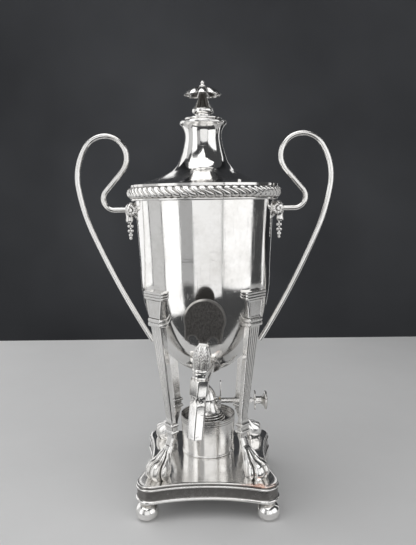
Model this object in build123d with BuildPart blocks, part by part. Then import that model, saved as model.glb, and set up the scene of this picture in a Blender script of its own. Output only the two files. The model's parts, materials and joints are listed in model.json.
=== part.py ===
"""Tea urn with a spirit lamp, a plug tap and a lift-off lid, in millimetres.

The origin is on the floor under the middle of the plinth. Z is up, the tap faces -Y and the
winder of the lamp points to +X.
"""

import math
import os

from build123d import *

os.makedirs("parts", exist_ok=True)

# Sizes that the whole urn follows: the vessel's radius, the height of the legs and half the plinth
body_r = 70.5
leg_top_z = 201.5
plinth_corner = 78.5

# Vessel
bowl_depth = 113.0
bowl_z = leg_top_z + 50.8
bowl_side_r = 169.6
bowl_side_angle = 66.0
bowl_low_angle = 35.0
pole_flat_angle = 1.2
wall = 1.4
flare_angle = 3.2
flare_bend_r = 300.0
rim_z = bowl_z + 91.3
lip_t = 1.6
mouth_r = body_r + 0.5

# Rope rim and the bead under it
gadroon_h = 11.2
gadroon_r = body_r + 12.5
gadroon_core_r = body_r + 10.1
gadroon_count = 60
strand_r = 3.9
strand_lean = 35.0
rim_bead_h = 2.8
rim_bead_r = body_r + 8.5

# Lid
lid_r = body_r + 8.5
lid_flange_t = 2.8
lid_t = 1.3
bezel_t = 1.2
bezel_h = 8.0
bezel_gap = 0.4
lid_waist_r = 19.4
lid_waist_h = 51.0
lid_neck_r = 22.6
lid_h = 64.0
neck_flange_r = 25.0
neck_flange_h = 6.4
neck_ring_r = 19.6
neck_ring_h = 2.4
lid_stud_r = 1.7

# Finial
knop_base_r = 9.0
knop_r = 11.7
knop_h = 6.0
knop_base_h = 4.2
stem_r = 3.6
stem_h = 17.1
parasol_r = 19.9
parasol_h = 8.4
parasol_t = 1.0
parasol_petals = 8
petal_notch_r = 4.6
tip_bead_r = 3.2
tip_ball_r = 2.0
tip_h = 7.0
finial_stud_r = 2.4
finial_nut_r = 5.2
nut_h = 3.2

# Handles
rod_r = 2.75
handle_start_x = body_r + 13.5
handle_start_z = rim_z - 23.2
handle_curl_x = handle_start_x + 13.5
curl_r = 12.0
climb_angle = 131.0
climb_run = 27.5
loop_r = 23.2
shoulder_r = 24.4
fall_r = 62.0
sweep_in_r = 215.0
tail_r = 900.0

# Ram's masks
mask_x = body_r + 10.5
mask_top_z = rim_z - 14.2
mask_snout_z = mask_top_z - 23.9
horn_r = 4.6
horn_wire_r = 1.7
pendant_bead_r = 1.7
pendant_pitch = 5.4

# Legs, on the diagonals
leg_count = 4
leg_top_r = body_r + 1.5
leg_foot_r = plinth_corner - 22.3
leg_knee_r = leg_foot_r + 1.4
leg_knee_rise = 60.6
leg_w_top = 16.2
leg_w_knee = 9.6
leg_t_top = 7.0
leg_t_knee = 5.4
flute_count = 3
flute_share = 0.36
flute_out = 1.4
flute_spare = 0.6
collar_rise = 4.0
collar_h = 12.0
collar_w = 13.6
collar_t = 8.2

# Capitals
capital_r = body_r + 3.0
capital_band_h = 8.5
capital_block_h = 19.5
capital_top_h = 8.5
capital_band_w = 19.4
capital_block_w = 25.0
capital_top_w = 29.6
capital_depth = 9.0

# Paws
paw_h = 38.6
paw_ball_r = 12.8
paw_ball_h = 12.0
paw_ball_place_r = leg_foot_r + 18.4
paw_ball_rise = 8.6
toe_pivot_r = leg_foot_r + 1.8
toe_fan = 24.0
toe_groove_r = 1.5

# Plinth
foot_h = 18.6
foot_r = 12.4
foot_place_r = plinth_corner + 11.0
foot_stud_r = 2.4
plinth_z = 20.4
plinth_h = 19.0
plinth_incurve = 13.5
plinth_round = 6.0
sheet_t = 1.5
bead_r = 2.0
lower_bead_r = 1.9
upper_bead_drop = 3.4
gusset_t = 2.0
gusset_size = 24.0
paw_screw_r = 2.0
paw_screw_place_r = leg_foot_r + 16.8

# Tap
tap_reach = body_r + 31.5
tap_root = body_r - 15.5
tap_turn = 6.2
tap_z = bowl_z - 96.9
tap_lean = 5.5
tube_r = 7.5
tube_bore_r = 4.5
rosette_r = 12.5
rosette_t = 1.8
plug_r_top = 6.2
plug_r_bottom = plug_r_top - 1.0
plug_gap = 0.05
plug_bore_r = plug_r_bottom - 1.6
block_r = plug_r_top + 3.7
block_h = 14.8
block_taper_h = 4.0
neck_r = plug_r_top + 1.4
neck_h = 6.8
spout_r = block_r - 1.2
spout_drop = 50.8
spout_bore_r = plug_r_bottom + 0.8
key_ring_r = neck_r + 0.5
key_ring_h = 3.6
bulb_r = 7.7
bulb_top_r = 4.6
bulb_h = 22.0
key_disc_r = 19.8
key_disc_rise = 64.2
key_t = 6.0
key_foot_drop = 22.2
key_foot_w = 8.4
key_hook_x = 15.2
key_hook_r = 2.2
key_hook_drop = 19.0
key_notch_x = 9.8
key_notch_drop = 15.2
key_disc_end = 22.0
key_edge = 0.9
key_pin_rise = 9.6
tang_w = 7.0
tang_t = 2.2
tang_h = 16.0
fit_gap = 0.05
key_pin_r = 1.1

# Lamp, standing a little behind the middle of the plinth
lamp_y = 19.0
lamp_r_foot = 29.3
lamp_r_top = 31.4
lamp_h = 43.0
lamp_deck_drop = 6.0
lamp_wall = 1.0
lamp_ring_r = 1.2
lamp_collar_h = 7.6
lamp_collar_steps = 3
burner_r_top = 9.6
burner_r_foot = burner_r_top + 6.0
lamp_collar_r = burner_r_foot + 4.4
burner_h = 16.0
burner_t = 1.2
wick_w = 10.0
wick_t = 2.6
wick_gap = 0.3
wick_stand = 1.0
cap_r = burner_r_top + 1.0
cap_h = 17.0
cap_t = 0.9
cap_gap = 0.4
hinge_x = burner_r_top + 4.6
hinge_front = 1.7
hinge_pin_r = 0.8
hinge_gap = 0.05
hinge_knuckle_r = 2.0
hinge_rise = 0.6
hinge_half = 1.9
ear_t = 0.8
lever_h = 20.0
lever_w = 4.8
lever_foot = 2.4
lever_t = 1.4
winder_r = 2.9
winder_reach = 52.0
winder_below = 4.4
shaft_r = 1.5
shaft_gap = 0.06
wheel_r = 2.6
wheel_teeth = 10
disc_r = 11.4
disc_t = 2.2
disc_x = 54.0
hub_r = 4.2
knob_x = 63.5
knob_r = 10.9
knob_t = 7.0

# Heights that follow from the sizes above
plate_z = plinth_z + plinth_h
leg_knee_z = plate_z + leg_knee_rise
collar_z = plate_z + paw_h + collar_rise
capital_z = leg_top_z
capital_block_z = capital_z + capital_band_h
capital_top_z = capital_block_z + capital_block_h
lid_top_z = rim_z + lid_h
neck_ring_z = lid_top_z + neck_flange_h
finial_z = neck_ring_z + neck_ring_h
knop_z = finial_z + knop_base_h
stem_z = knop_z + knop_h
parasol_z = stem_z + stem_h
lamp_z = plate_z
lamp_top_z = lamp_z + lamp_h
deck_z = lamp_top_z - lamp_deck_drop
burner_z = deck_z + lamp_collar_h
burner_top_z = burner_z + burner_h
cap_z = burner_top_z + cap_gap
winder_z = burner_top_z - winder_below
winder_y = lamp_y + wick_t / 2 + wick_gap + wheel_r

corners = {
    "front_left": 225.0,
    "front_right": 315.0,
    "rear_right": 45.0,
    "rear_left": 135.0,
}
sides = {"left": 180.0, "right": 0.0}


def save(part, name):
    """Label a finished piece and write it under its own name."""
    part.label = name
    export_step(part, f"parts/{name}.step")


def inset_points(points, distance):
    """Move the points of an open outline sideways by a distance, to the left of its run."""
    moved = []
    for i, (x, z) in enumerate(points):
        before = points[max(i - 1, 0)]
        after = points[min(i + 1, len(points) - 1)]
        run = math.hypot(after[0] - before[0], after[1] - before[1])
        nx = -(after[1] - before[1]) / run
        nz = (after[0] - before[0]) / run
        moved.append((x + nx * distance, z + nz * distance))
    return moved


def bowl_radii():
    """Radii of the middle and the lowest of the bowl's three arcs, which end on the axis."""
    low = math.radians(bowl_low_angle)
    mid = math.radians(bowl_side_angle)
    span = body_r - bowl_side_r * (1 - math.sin(mid))
    drop = bowl_depth - bowl_side_r * math.cos(mid)
    run = math.sin(mid) - math.sin(low)
    fall = math.cos(low) - math.cos(mid)
    share = math.sin(low) * fall - run * (1 - math.cos(low))
    mid_r = (drop * math.sin(low) - span * (1 - math.cos(low))) / share
    low_r = (span * fall - drop * run) / share
    return mid_r, low_r


def vessel_section(inset, top):
    """Half section of the vessel, drawn a distance inside its outer surface, up to a height."""
    mid_r, low_r = bowl_radii()
    with BuildSketch(Plane.XZ) as section:
        with BuildLine():
            side = JernArc((body_r - inset, bowl_z), (0, -1), bowl_side_r - inset, bowl_side_angle - 90)
            mid = JernArc(side @ 1, side % 1, mid_r - inset, bowl_low_angle - bowl_side_angle)
            low = JernArc(mid @ 1, mid % 1, low_r - inset, pole_flat_angle - bowl_low_angle)
            bend = JernArc(side @ 0, (0, 1), flare_bend_r + inset, -flare_angle)
            rise = top - (bend @ 1).Y
            end_x = (bend @ 1).X + rise * math.tan(math.radians(flare_angle))
            Polyline(bend @ 1, (end_x, top), (0, top), (0, (low @ 1).Y), low @ 1)
        make_face()
    return section.sketch


def arc_chain(points):
    """Smooth run of arcs: one through the first three points, then one to each later point."""
    runs = [ThreePointArc(*points[:3])]
    for point in points[3:]:
        runs.append(TangentArc(runs[-1] @ 1, point, tangent=runs[-1] % 1))
    return runs


# Outer form of the vessel, which every piece that sits on it is trimmed to
with BuildPart() as vessel_form:
    add(vessel_section(0, rim_z))
    revolve(axis=Axis.Z)

# Plane of the tap: its origin is on the axis of the key at the height of the tube. The tube is
# turned a little about its root in the wall of the bowl, and the key's axis leans to its right.
tap_tilt = math.radians(tap_lean)
tap_heading = math.radians(tap_turn)
tap_out = Vector(-math.sin(tap_heading), -math.cos(tap_heading), 0)
tap_in = tap_out * -1
tap_right = Vector(math.cos(tap_heading), -math.sin(tap_heading), 0)
tap_origin = Vector(0, -tap_root, tap_z) + tap_out * (tap_reach - tap_root)
tap_axis = tap_right * math.sin(tap_tilt) + Vector(0, 0, math.cos(tap_tilt))
tap_side = tap_right * math.cos(tap_tilt) - Vector(0, 0, math.sin(tap_tilt))
tap_plane = Plane(origin=tap_origin, x_dir=tap_side, z_dir=tap_axis)
tap_front = Plane(origin=tap_origin, x_dir=tap_side, z_dir=tap_out)
tube_plane = Plane(origin=tap_origin, x_dir=tap_side, z_dir=tap_in)

# Vessel: spun shell with a turned-in lip, and a hole for the tap in the bowl
with BuildPart() as urn_body:
    add(vessel_form.part)
    add(vessel_section(wall, rim_z - lip_t))
    revolve(axis=Axis.Z, mode=Mode.SUBTRACT)
    with BuildSketch(Plane.XY.offset(rim_z)):
        Circle(mouth_r)
    extrude(amount=-2 * lip_t, mode=Mode.SUBTRACT)
    with BuildSketch(tube_plane):
        Circle(tube_bore_r)
    extrude(amount=tap_reach, mode=Mode.SUBTRACT)
save(urn_body.part, "urn_body")

# Rope rim: slanted strands on a ring, cut to a round outside
gadroon_z = rim_z - gadroon_h
with BuildPart() as gadroon_rim:
    with BuildSketch(Plane.XZ):
        with Locations((body_r, gadroon_z)):
            Rectangle(gadroon_core_r - body_r, gadroon_h, align=(Align.MIN, Align.MIN))
    revolve(axis=Axis.Z)
    with Locations((0, 0, gadroon_z + gadroon_h / 2)):
        with PolarLocations(gadroon_r - strand_r + 0.3, gadroon_count):
            Cylinder(strand_r, 1.6 * gadroon_h, rotation=(strand_lean, 0, 0))
    with BuildSketch(Plane.XZ):
        with BuildLine():
            inner = Line((body_r, rim_z), (body_r, gadroon_z))
            floor = Line(inner @ 1, (gadroon_core_r - 1, gadroon_z))
            belly = ThreePointArc(
                floor @ 1, (gadroon_r, gadroon_z + gadroon_h / 2), (gadroon_core_r - 1, rim_z)
            )
            Line(belly @ 1, inner @ 0)
        make_face()
    revolve(axis=Axis.Z, mode=Mode.INTERSECT)
    add(vessel_form.part, mode=Mode.SUBTRACT)
save(gadroon_rim.part, "gadroon_rim")

# Plain bead under the rope rim
rim_bead_z = gadroon_z - rim_bead_h
with BuildPart() as rim_bead:
    with BuildSketch(Plane.XZ):
        with BuildLine():
            inner = Line((body_r, gadroon_z), (body_r, rim_bead_z))
            floor = Line(inner @ 1, (rim_bead_r - rim_bead_h / 2, rim_bead_z))
            nose = ThreePointArc(
                floor @ 1,
                (rim_bead_r, rim_bead_z + rim_bead_h / 2),
                (rim_bead_r - rim_bead_h / 2, gadroon_z),
            )
            Line(nose @ 1, inner @ 0)
        make_face()
    revolve(axis=Axis.Z)
    add(vessel_form.part, mode=Mode.SUBTRACT)
save(rim_bead.part, "rim_bead")

# Lid: flat flange, hollow trumpet skirt and waisted neck
lid_flange_z = rim_z + lid_flange_t
lid_curve = [
    (lid_r - 2.0, lid_flange_z),
    (lid_r * 0.7, lid_flange_z + 5.0),
    (lid_r * 0.455, lid_flange_z + 13.8),
    (lid_r * 0.318, lid_flange_z + 26.4),
    (lid_waist_r, rim_z + lid_waist_h),
    (lid_neck_r, lid_top_z),
]
bezel_r = mouth_r - bezel_gap
lid_inner = inset_points(lid_curve, lid_t)
lid_inner[0] = (bezel_r - bezel_t, lid_flange_z + 0.4)
lid_inner[-1] = (lid_inner[-1][0], lid_top_z)
with BuildPart() as lid_cover:
    with BuildSketch(Plane.XZ):
        with BuildLine():
            outside = arc_chain(lid_curve)
            edge = Polyline(
                lid_curve[0], (lid_r, lid_flange_z - 0.4), (lid_r, rim_z), (bezel_r - bezel_t, rim_z)
            )
            inside = arc_chain(lid_inner)
            Line(edge @ 1, lid_inner[0])
            Line(inside[-1] @ 1, outside[-1] @ 1)
        make_face()
    revolve(axis=Axis.Z)
save(lid_cover.part, "lid_cover")

# Bezel that drops into the mouth and centres the lid
with BuildPart() as lid_bezel:
    with BuildSketch(Plane.XY.offset(rim_z)):
        Circle(bezel_r)
        Circle(bezel_r - bezel_t, mode=Mode.SUBTRACT)
    extrude(amount=-bezel_h)
save(lid_bezel.part, "lid_bezel")

# Small stud on the edge of the lid, at the front right
with BuildPart() as lid_stud:
    stud_r = lid_r - 3.2
    stud_turn = math.radians(-62)
    with Locations((stud_r * math.cos(stud_turn), stud_r * math.sin(stud_turn), lid_flange_z)):
        Cylinder(lid_stud_r, lid_stud_r * 1.6, align=(Align.CENTER, Align.CENTER, Align.MIN))
    fillet(lid_stud.edges().group_by(Axis.Z)[-1], lid_stud_r * 0.5)
    add(lid_cover.part, mode=Mode.SUBTRACT)
save(lid_stud.part, "lid_stud")

# Double flange on the neck of the lid
with BuildPart() as neck_flange:
    with BuildSketch(Plane.XZ):
        with BuildLine():
            axis_line = Line((0, lid_top_z), (lid_neck_r, lid_top_z))
            under = Line(axis_line @ 1, (neck_flange_r - 1.2, lid_top_z + 1.4))
            lip = ThreePointArc(
                under @ 1,
                (neck_flange_r, lid_top_z + neck_flange_h / 2),
                (neck_flange_r - 1.8, neck_ring_z - 1.0),
            )
            upper = Polyline(
                lip @ 1,
                (neck_ring_r - 1.2, neck_ring_z),
                (neck_ring_r, neck_ring_z + 0.8),
                (neck_ring_r, finial_z - 0.6),
                (neck_ring_r - 0.8, finial_z),
                (0, finial_z),
            )
            Line(upper @ 1, axis_line @ 0)
        make_face()
    revolve(axis=Axis.Z)
    with Locations((0, 0, finial_z)):
        Hole(finial_stud_r)
save(neck_flange.part, "neck_flange")

# Finial stem: base, round knop, flared stem, and a stud down through the flange
with BuildPart() as finial_stem:
    with BuildSketch(Plane.XZ):
        with BuildLine():
            foot = Line((0, finial_z), (knop_base_r, finial_z))
            cove = ThreePointArc(
                foot @ 1, (knop_base_r - 0.8, finial_z + knop_base_h / 2), (knop_base_r + 0.6, knop_z)
            )
            knop = ThreePointArc(cove @ 1, (knop_r, knop_z + knop_h / 2), (knop_base_r + 0.8, stem_z))
            taper = ThreePointArc(
                knop @ 1, (stem_r + 2.2, stem_z + stem_h * 0.42), (stem_r, stem_z + stem_h * 0.8)
            )
            shaft = Line(taper @ 1, (stem_r, parasol_z))
            top = Line(shaft @ 1, (0, parasol_z))
            Line(top @ 1, foot @ 0)
        make_face()
    revolve(axis=Axis.Z)
    with BuildSketch(Plane.XY.offset(finial_z)):
        Circle(finial_stud_r)
    extrude(amount=-(neck_ring_h + neck_flange_h + nut_h + 1.5))
save(finial_stem.part, "finial_stem")

# Nut under the neck flange
with BuildPart() as finial_nut:
    with BuildSketch(Plane.XY.offset(lid_top_z)):
        RegularPolygon(finial_nut_r, 6)
        Circle(finial_stud_r, mode=Mode.SUBTRACT)
    extrude(amount=-nut_h)
save(finial_nut.part, "finial_nut")

# Parasol: domed and fluted, with a scalloped edge of drooping petals
parasol_top_z = parasol_z + parasol_h / 2
with BuildPart() as finial_parasol:
    with BuildSketch(Plane.XZ):
        with BuildLine():
            low = Line((0, parasol_z), (stem_r + 1.0, parasol_z))
            under = ThreePointArc(
                low @ 1,
                (parasol_r * 0.62, parasol_z - 0.4),
                (parasol_r - 0.4, parasol_top_z - parasol_h),
            )
            rim_edge = Line(under @ 1, (parasol_r, parasol_top_z - parasol_h + parasol_t))
            over = ThreePointArc(
                rim_edge @ 1,
                (parasol_r * 0.62, parasol_z + parasol_t + 1.2),
                (tip_bead_r * 0.6, parasol_top_z),
            )
            Polyline(over @ 1, (0, parasol_top_z), low @ 0)
        make_face()
    revolve(axis=Axis.Z)
    with Locations((0, 0, parasol_z - 4)):
        with PolarLocations(parasol_r + 1.8, parasol_petals, start_angle=180 / parasol_petals):
            Cylinder(
                petal_notch_r, parasol_h + 8, rotation=(0, -4, 0),
                align=(Align.CENTER, Align.CENTER, Align.MIN), mode=Mode.SUBTRACT,
            )
save(finial_parasol.part, "finial_parasol")

# Bead and ball at the very top
tip_top_z = parasol_top_z + tip_h
with BuildPart() as finial_tip:
    with BuildSketch(Plane.XZ):
        with BuildLine():
            base = Line((0, parasol_top_z), (tip_bead_r * 0.6, parasol_top_z))
            bead = ThreePointArc(
                base @ 1, (tip_bead_r, parasol_top_z + 1.5), (tip_ball_r * 0.6, parasol_top_z + 3.0)
            )
            ball = ThreePointArc(
                bead @ 1, (tip_ball_r, tip_top_z - tip_ball_r), (tip_ball_r * 0.2, tip_top_z)
            )
            Polyline(ball @ 1, (0, tip_top_z), base @ 0)
        make_face()
    revolve(axis=Axis.Z)
save(finial_tip.part, "finial_tip")

# Handles: a round rod in the XZ plane that curls under the mask, swings up and over, and runs
# down to the side of the bowl
with BuildPart() as handle_form:
    with BuildLine(Plane.XZ) as route:
        start = Line((handle_start_x, handle_start_z), (handle_curl_x, handle_start_z))
        curl = JernArc(start @ 1, (1, 0), curl_r, climb_angle)
        climb = Line(curl @ 1, curl @ 1 + curl % 1 * climb_run)
        loop = JernArc(climb @ 1, curl % 1, loop_r, -climb_angle)
        shoulder = JernArc(loop @ 1, loop % 1, shoulder_r, -56)
        fall = JernArc(shoulder @ 1, shoulder % 1, fall_r, -43)
        sweep_in = JernArc(fall @ 1, fall % 1, sweep_in_r, -14)
        tail = JernArc(sweep_in @ 1, sweep_in % 1, tail_r, -8.6)
    with BuildSketch(Plane(origin=route.line @ 0, z_dir=route.line % 0)):
        Circle(rod_r)
    sweep(path=route.line)
    add(vessel_form.part, mode=Mode.SUBTRACT)

for side, turn in sides.items():
    with BuildPart() as handle:
        with Locations(Rotation(0, 0, turn)):
            add(handle_form.part)
    save(handle.part, f"handle_{side}")

# Ram's masks: a tapering skull over a snout, a curled horn at each side, and a pad on the wall
mask_skull = [(mask_top_z, 6.4, 6.2), (mask_top_z - 11, 6.6, 6.0), (mask_snout_z, 3.6, 3.4)]
with BuildPart() as mask_form:
    for z, rx, ry in mask_skull:
        with BuildSketch(Plane.XY.offset(z)):
            with Locations((mask_x + (mask_top_z - z) * 0.03, 0)):
                Ellipse(rx, ry)
    loft()
    with Locations(*[(mask_x - 0.5, y, mask_top_z - 9.5) for y in (-6.6, 6.6)]):
        Torus(horn_r, horn_wire_r, rotation=(90, 0, 0))
    with BuildSketch(Plane.YZ.offset(body_r)):
        with Locations((0, mask_top_z - 9)):
            Ellipse(6.0, 9.5)
    extrude(amount=mask_x - body_r)
    add(vessel_form.part, mode=Mode.SUBTRACT)
    add(handle_form.part, mode=Mode.SUBTRACT)

# Pendants: two rows of paired beads, a ring and a drop, on one wire under the snout
with BuildPart() as pendant_form:
    with Locations((mask_x, 0, mask_snout_z)):
        Cylinder(0.9, 3 * pendant_pitch, align=(Align.CENTER, Align.CENTER, Align.MAX))
    for row in (0.55, 1.5):
        for x in (-pendant_bead_r * 0.9, pendant_bead_r * 0.9):
            with Locations((mask_x + x, 0, mask_snout_z - row * pendant_pitch)):
                Sphere(pendant_bead_r)
    with Locations((mask_x, 0, mask_snout_z - 2.35 * pendant_pitch)):
        Torus(1.4, 0.8, rotation=(90, 0, 0))
    with Locations((mask_x, 0, mask_snout_z - 3 * pendant_pitch)):
        Sphere(pendant_bead_r)

for side, turn in sides.items():
    with BuildPart() as mask:
        with Locations(Rotation(0, 0, turn)):
            add(mask_form.part)
    save(mask.part, f"ram_mask_{side}")
    with BuildPart() as pendant:
        with Locations(Rotation(0, 0, turn)):
            add(pendant_form.part)
    save(pendant.part, f"mask_pendant_{side}")


def leg_outer_r(z):
    """Radius of the outer face of a leg at a height: a straight taper to the knee."""
    share = (z - leg_knee_z) / (leg_top_z - leg_knee_z)
    return leg_knee_r + share * (leg_top_r - leg_knee_r)


# Legs: tapering shaft of rectangular section, fluted on its outer face, with an ankle collar.
# The master leg lies along +X and is turned to each corner.
ankle_z = plate_z + paw_h
with BuildPart() as leg_form:
    with BuildSketch(Plane.XY.offset(leg_top_z)):
        with Locations((leg_top_r, 0)):
            Rectangle(leg_t_top, leg_w_top, align=(Align.MAX, Align.CENTER))
    with BuildSketch(Plane.XY.offset(leg_knee_z)):
        with Locations((leg_knee_r, 0)):
            Rectangle(leg_t_knee, leg_w_knee, align=(Align.MAX, Align.CENTER))
    loft(ruled=True)
    with BuildSketch(Plane.XY.offset(leg_knee_z)):
        with Locations((leg_knee_r, 0)):
            Rectangle(leg_t_knee, leg_w_knee, align=(Align.MAX, Align.CENTER))
    with BuildSketch(Plane.XY.offset(ankle_z)):
        with Locations((leg_foot_r, 0)):
            Rectangle(leg_t_knee, leg_w_knee, align=(Align.MAX, Align.CENTER))
    loft(ruled=True)
    pitch_top = leg_w_top / flute_count
    pitch_knee = leg_w_knee / flute_count
    for i in range(flute_count):
        lane = i - (flute_count - 1) / 2
        with BuildSketch(Plane.XY.offset(leg_top_z)):
            with Locations((leg_top_r + flute_out, lane * pitch_top)):
                Circle(pitch_top * flute_share + flute_spare)
        with BuildSketch(Plane.XY.offset(collar_z + collar_h)):
            with Locations((leg_outer_r(collar_z + collar_h) + flute_out, lane * pitch_knee)):
                Circle(pitch_knee * flute_share + flute_spare)
        loft(ruled=True, mode=Mode.SUBTRACT)
    with BuildSketch(Plane.XY.offset(collar_z)):
        with Locations((leg_foot_r + 0.5 * (collar_t - leg_t_knee), 0)):
            RectangleRounded(collar_t, collar_w, 1.2, align=(Align.MAX, Align.CENTER))
    extrude(amount=collar_h)
    with BuildSketch(Plane.XY.offset(collar_z + collar_h * 0.35)):
        with Locations((leg_foot_r + 0.5 * (collar_t - leg_t_knee), 0)):
            Rectangle(collar_t + 2, collar_w + 2, align=(Align.MAX, Align.CENTER))
            with Locations((-0.8, 0)):
                Rectangle(collar_t - 1.6, collar_w - 1.8, align=(Align.MAX, Align.CENTER), mode=Mode.SUBTRACT)
    extrude(amount=collar_h * 0.3, mode=Mode.SUBTRACT)

# Capitals: lower band, block that spreads upward, and a wide band of three lines, on the wall
with BuildPart() as capital_form:
    with BuildSketch(Plane.XY.offset(capital_z)):
        with Locations((capital_r + 0.6, 0)):
            RectangleRounded(capital_depth, capital_band_w, 1.0, align=(Align.MAX, Align.CENTER))
    extrude(amount=capital_band_h)
    with BuildSketch(Plane.XY.offset(capital_block_z)):
        with Locations((capital_r, 0)):
            Rectangle(capital_depth, capital_band_w - 1.4, align=(Align.MAX, Align.CENTER))
    with BuildSketch(Plane.XY.offset(capital_top_z)):
        with Locations((capital_r, 0)):
            Rectangle(capital_depth, capital_block_w, align=(Align.MAX, Align.CENTER))
    loft(ruled=True)
    line_h = capital_top_h / 3
    for i in range(3):
        with BuildSketch(Plane.XY.offset(capital_top_z + i * line_h)):
            with Locations((capital_r + 0.9 + 0.3 * i, 0)):
                RectangleRounded(
                    capital_depth, capital_top_w - 1.6 + 0.8 * i, 1.0, align=(Align.MAX, Align.CENTER)
                )
        extrude(amount=line_h, taper=6)
    add(vessel_form.part, mode=Mode.SUBTRACT)

# Paws: an ankle that sweeps outward into a squashed ball, which three grooves part into four toes.
# A section of the ankle is its height over the plate, middle, depth and width.
ankle_sections = [
    (paw_h, leg_foot_r - leg_t_knee / 2, leg_t_knee, leg_w_knee),
    (30.6, leg_foot_r + 0.6, 6.6, 10.0),
    (22.6, leg_foot_r + 6.6, 11.5, 13.5),
    (12.6, leg_foot_r + 13.3, 17.0, 19.0),
    (0.0, leg_foot_r + 16.3, 17.0, 18.0),
]
ball_z = plate_z + paw_ball_rise
with BuildPart() as paw_form:
    for rise, middle, depth, width in ankle_sections:
        with BuildSketch(Plane.XY.offset(plate_z + rise)):
            with Locations((middle, 0)):
                RectangleRounded(depth, width, min(depth, width) * 0.4)
    loft()
    with BuildSketch(Plane(origin=(paw_ball_place_r, 0, ball_z), x_dir=(1, 0, 0), z_dir=(0, -1, 0))):
        with BuildLine():
            pole_x = paw_ball_r * 0.1
            crown = ThreePointArc((pole_x, -paw_ball_h), (paw_ball_r, 0), (pole_x, paw_ball_h))
            Polyline(crown @ 1, (0, paw_ball_h), (0, -paw_ball_h), crown @ 0)
        make_face()
    revolve(axis=Axis((paw_ball_place_r, 0, 0), (0, 0, 1)))
    for lane in (-1, 0, 1):
        fan = math.radians(toe_fan * lane)
        run = (paw_ball_place_r - toe_pivot_r) * math.cos(fan)
        aside = (paw_ball_place_r - toe_pivot_r) * math.sin(fan)
        x = toe_pivot_r + run * math.cos(fan)
        y = run * math.sin(fan)
        with Locations(Location((x, y, ball_z), (0, 0, toe_fan * lane))):
            Torus(
                math.sqrt(paw_ball_r**2 - aside**2) + 0.4, toe_groove_r,
                rotation=(90, 0, 0), mode=Mode.SUBTRACT,
            )
    with BuildSketch(Plane.XY.offset(plate_z)):
        with Locations((paw_ball_place_r, 0)):
            Rectangle(4 * paw_ball_r, 4 * paw_ball_r)
    extrude(amount=-paw_ball_h, mode=Mode.SUBTRACT)
    with Locations((paw_screw_place_r, 0, plate_z)):
        Cylinder(paw_screw_r, 12, align=(Align.CENTER, Align.CENTER, Align.MIN), mode=Mode.SUBTRACT)

for corner, turn in corners.items():
    with BuildPart() as leg:
        with Locations(Rotation(0, 0, turn)):
            add(leg_form.part)
    save(leg.part, f"leg_{corner}")
    with BuildPart() as capital:
        with Locations(Rotation(0, 0, turn)):
            add(capital_form.part)
    save(capital.part, f"capital_{corner}")
    with BuildPart() as paw:
        with Locations(Rotation(0, 0, turn)):
            add(paw_form.part)
    save(paw.part, f"paw_{corner}")


def plinth_outline(inset):
    """Square with incurved sides and rounded corners, drawn a distance inside the skirt."""
    middle = plinth_corner - plinth_incurve
    side_r = (plinth_corner**2 + plinth_incurve**2) / (2 * plinth_incurve)
    centre = middle + side_r
    corner = (centre - math.sqrt(2 * (side_r + inset) ** 2 - centre**2)) / 2
    with BuildSketch() as outline:
        with BuildLine():
            for i in range(4):
                points = [Vector(corner, -corner), Vector(middle - inset, 0), Vector(corner, corner)]
                ThreePointArc(*[point.rotate(Axis.Z, 90 * i) for point in points])
        make_face()
        fillet(outline.vertices(), plinth_round - inset)
    return outline.sketch


# Plinth: top plate and skirt in one sheet
outer_outline = plinth_outline(0)
inner_outline = plinth_outline(sheet_t)
with BuildPart() as base_plate:
    with BuildSketch(Plane.XY.offset(plinth_z)):
        add(outer_outline)
    extrude(amount=plinth_h)
    with BuildSketch(Plane.XY.offset(plinth_z)):
        add(inner_outline)
    extrude(amount=plinth_h - sheet_t, mode=Mode.SUBTRACT)
    with BuildSketch(Plane.XY.offset(plate_z)):
        with PolarLocations(paw_screw_place_r, leg_count, start_angle=45):
            Circle(paw_screw_r)
    extrude(amount=-2 * sheet_t, mode=Mode.SUBTRACT)
save(base_plate.part, "base_plate")

# Bead mouldings round the skirt, upper and lower
mouldings = {
    "base_upper_bead": (plate_z - upper_bead_drop, bead_r),
    "base_lower_bead": (plinth_z + lower_bead_r, lower_bead_r),
}
for name, (z, r) in mouldings.items():
    path = outer_outline.faces()[0].outer_wire().moved(Location((0, 0, z)))
    with BuildPart() as moulding:
        with BuildSketch(Plane(origin=path @ 0, z_dir=path % 0)):
            Circle(r)
        sweep(path=path)
        with BuildSketch(Plane.XY.offset(plinth_z - r)):
            add(outer_outline)
        extrude(amount=plinth_h + 2 * r, mode=Mode.SUBTRACT)
    save(moulding.part, name)

# Gussets in the corners of the plinth, which take the studs of the feet
with BuildPart() as corner_gussets:
    with BuildSketch(Plane.XY.offset(plinth_z)):
        with PolarLocations(foot_place_r, leg_count, start_angle=45):
            Rectangle(gusset_size, 3 * gusset_size)
        add(inner_outline, mode=Mode.INTERSECT)
        with PolarLocations(foot_place_r, leg_count, start_angle=45):
            Circle(foot_stud_r, mode=Mode.SUBTRACT)
    extrude(amount=gusset_t)
save(corner_gussets.part, "corner_gussets")

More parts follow.
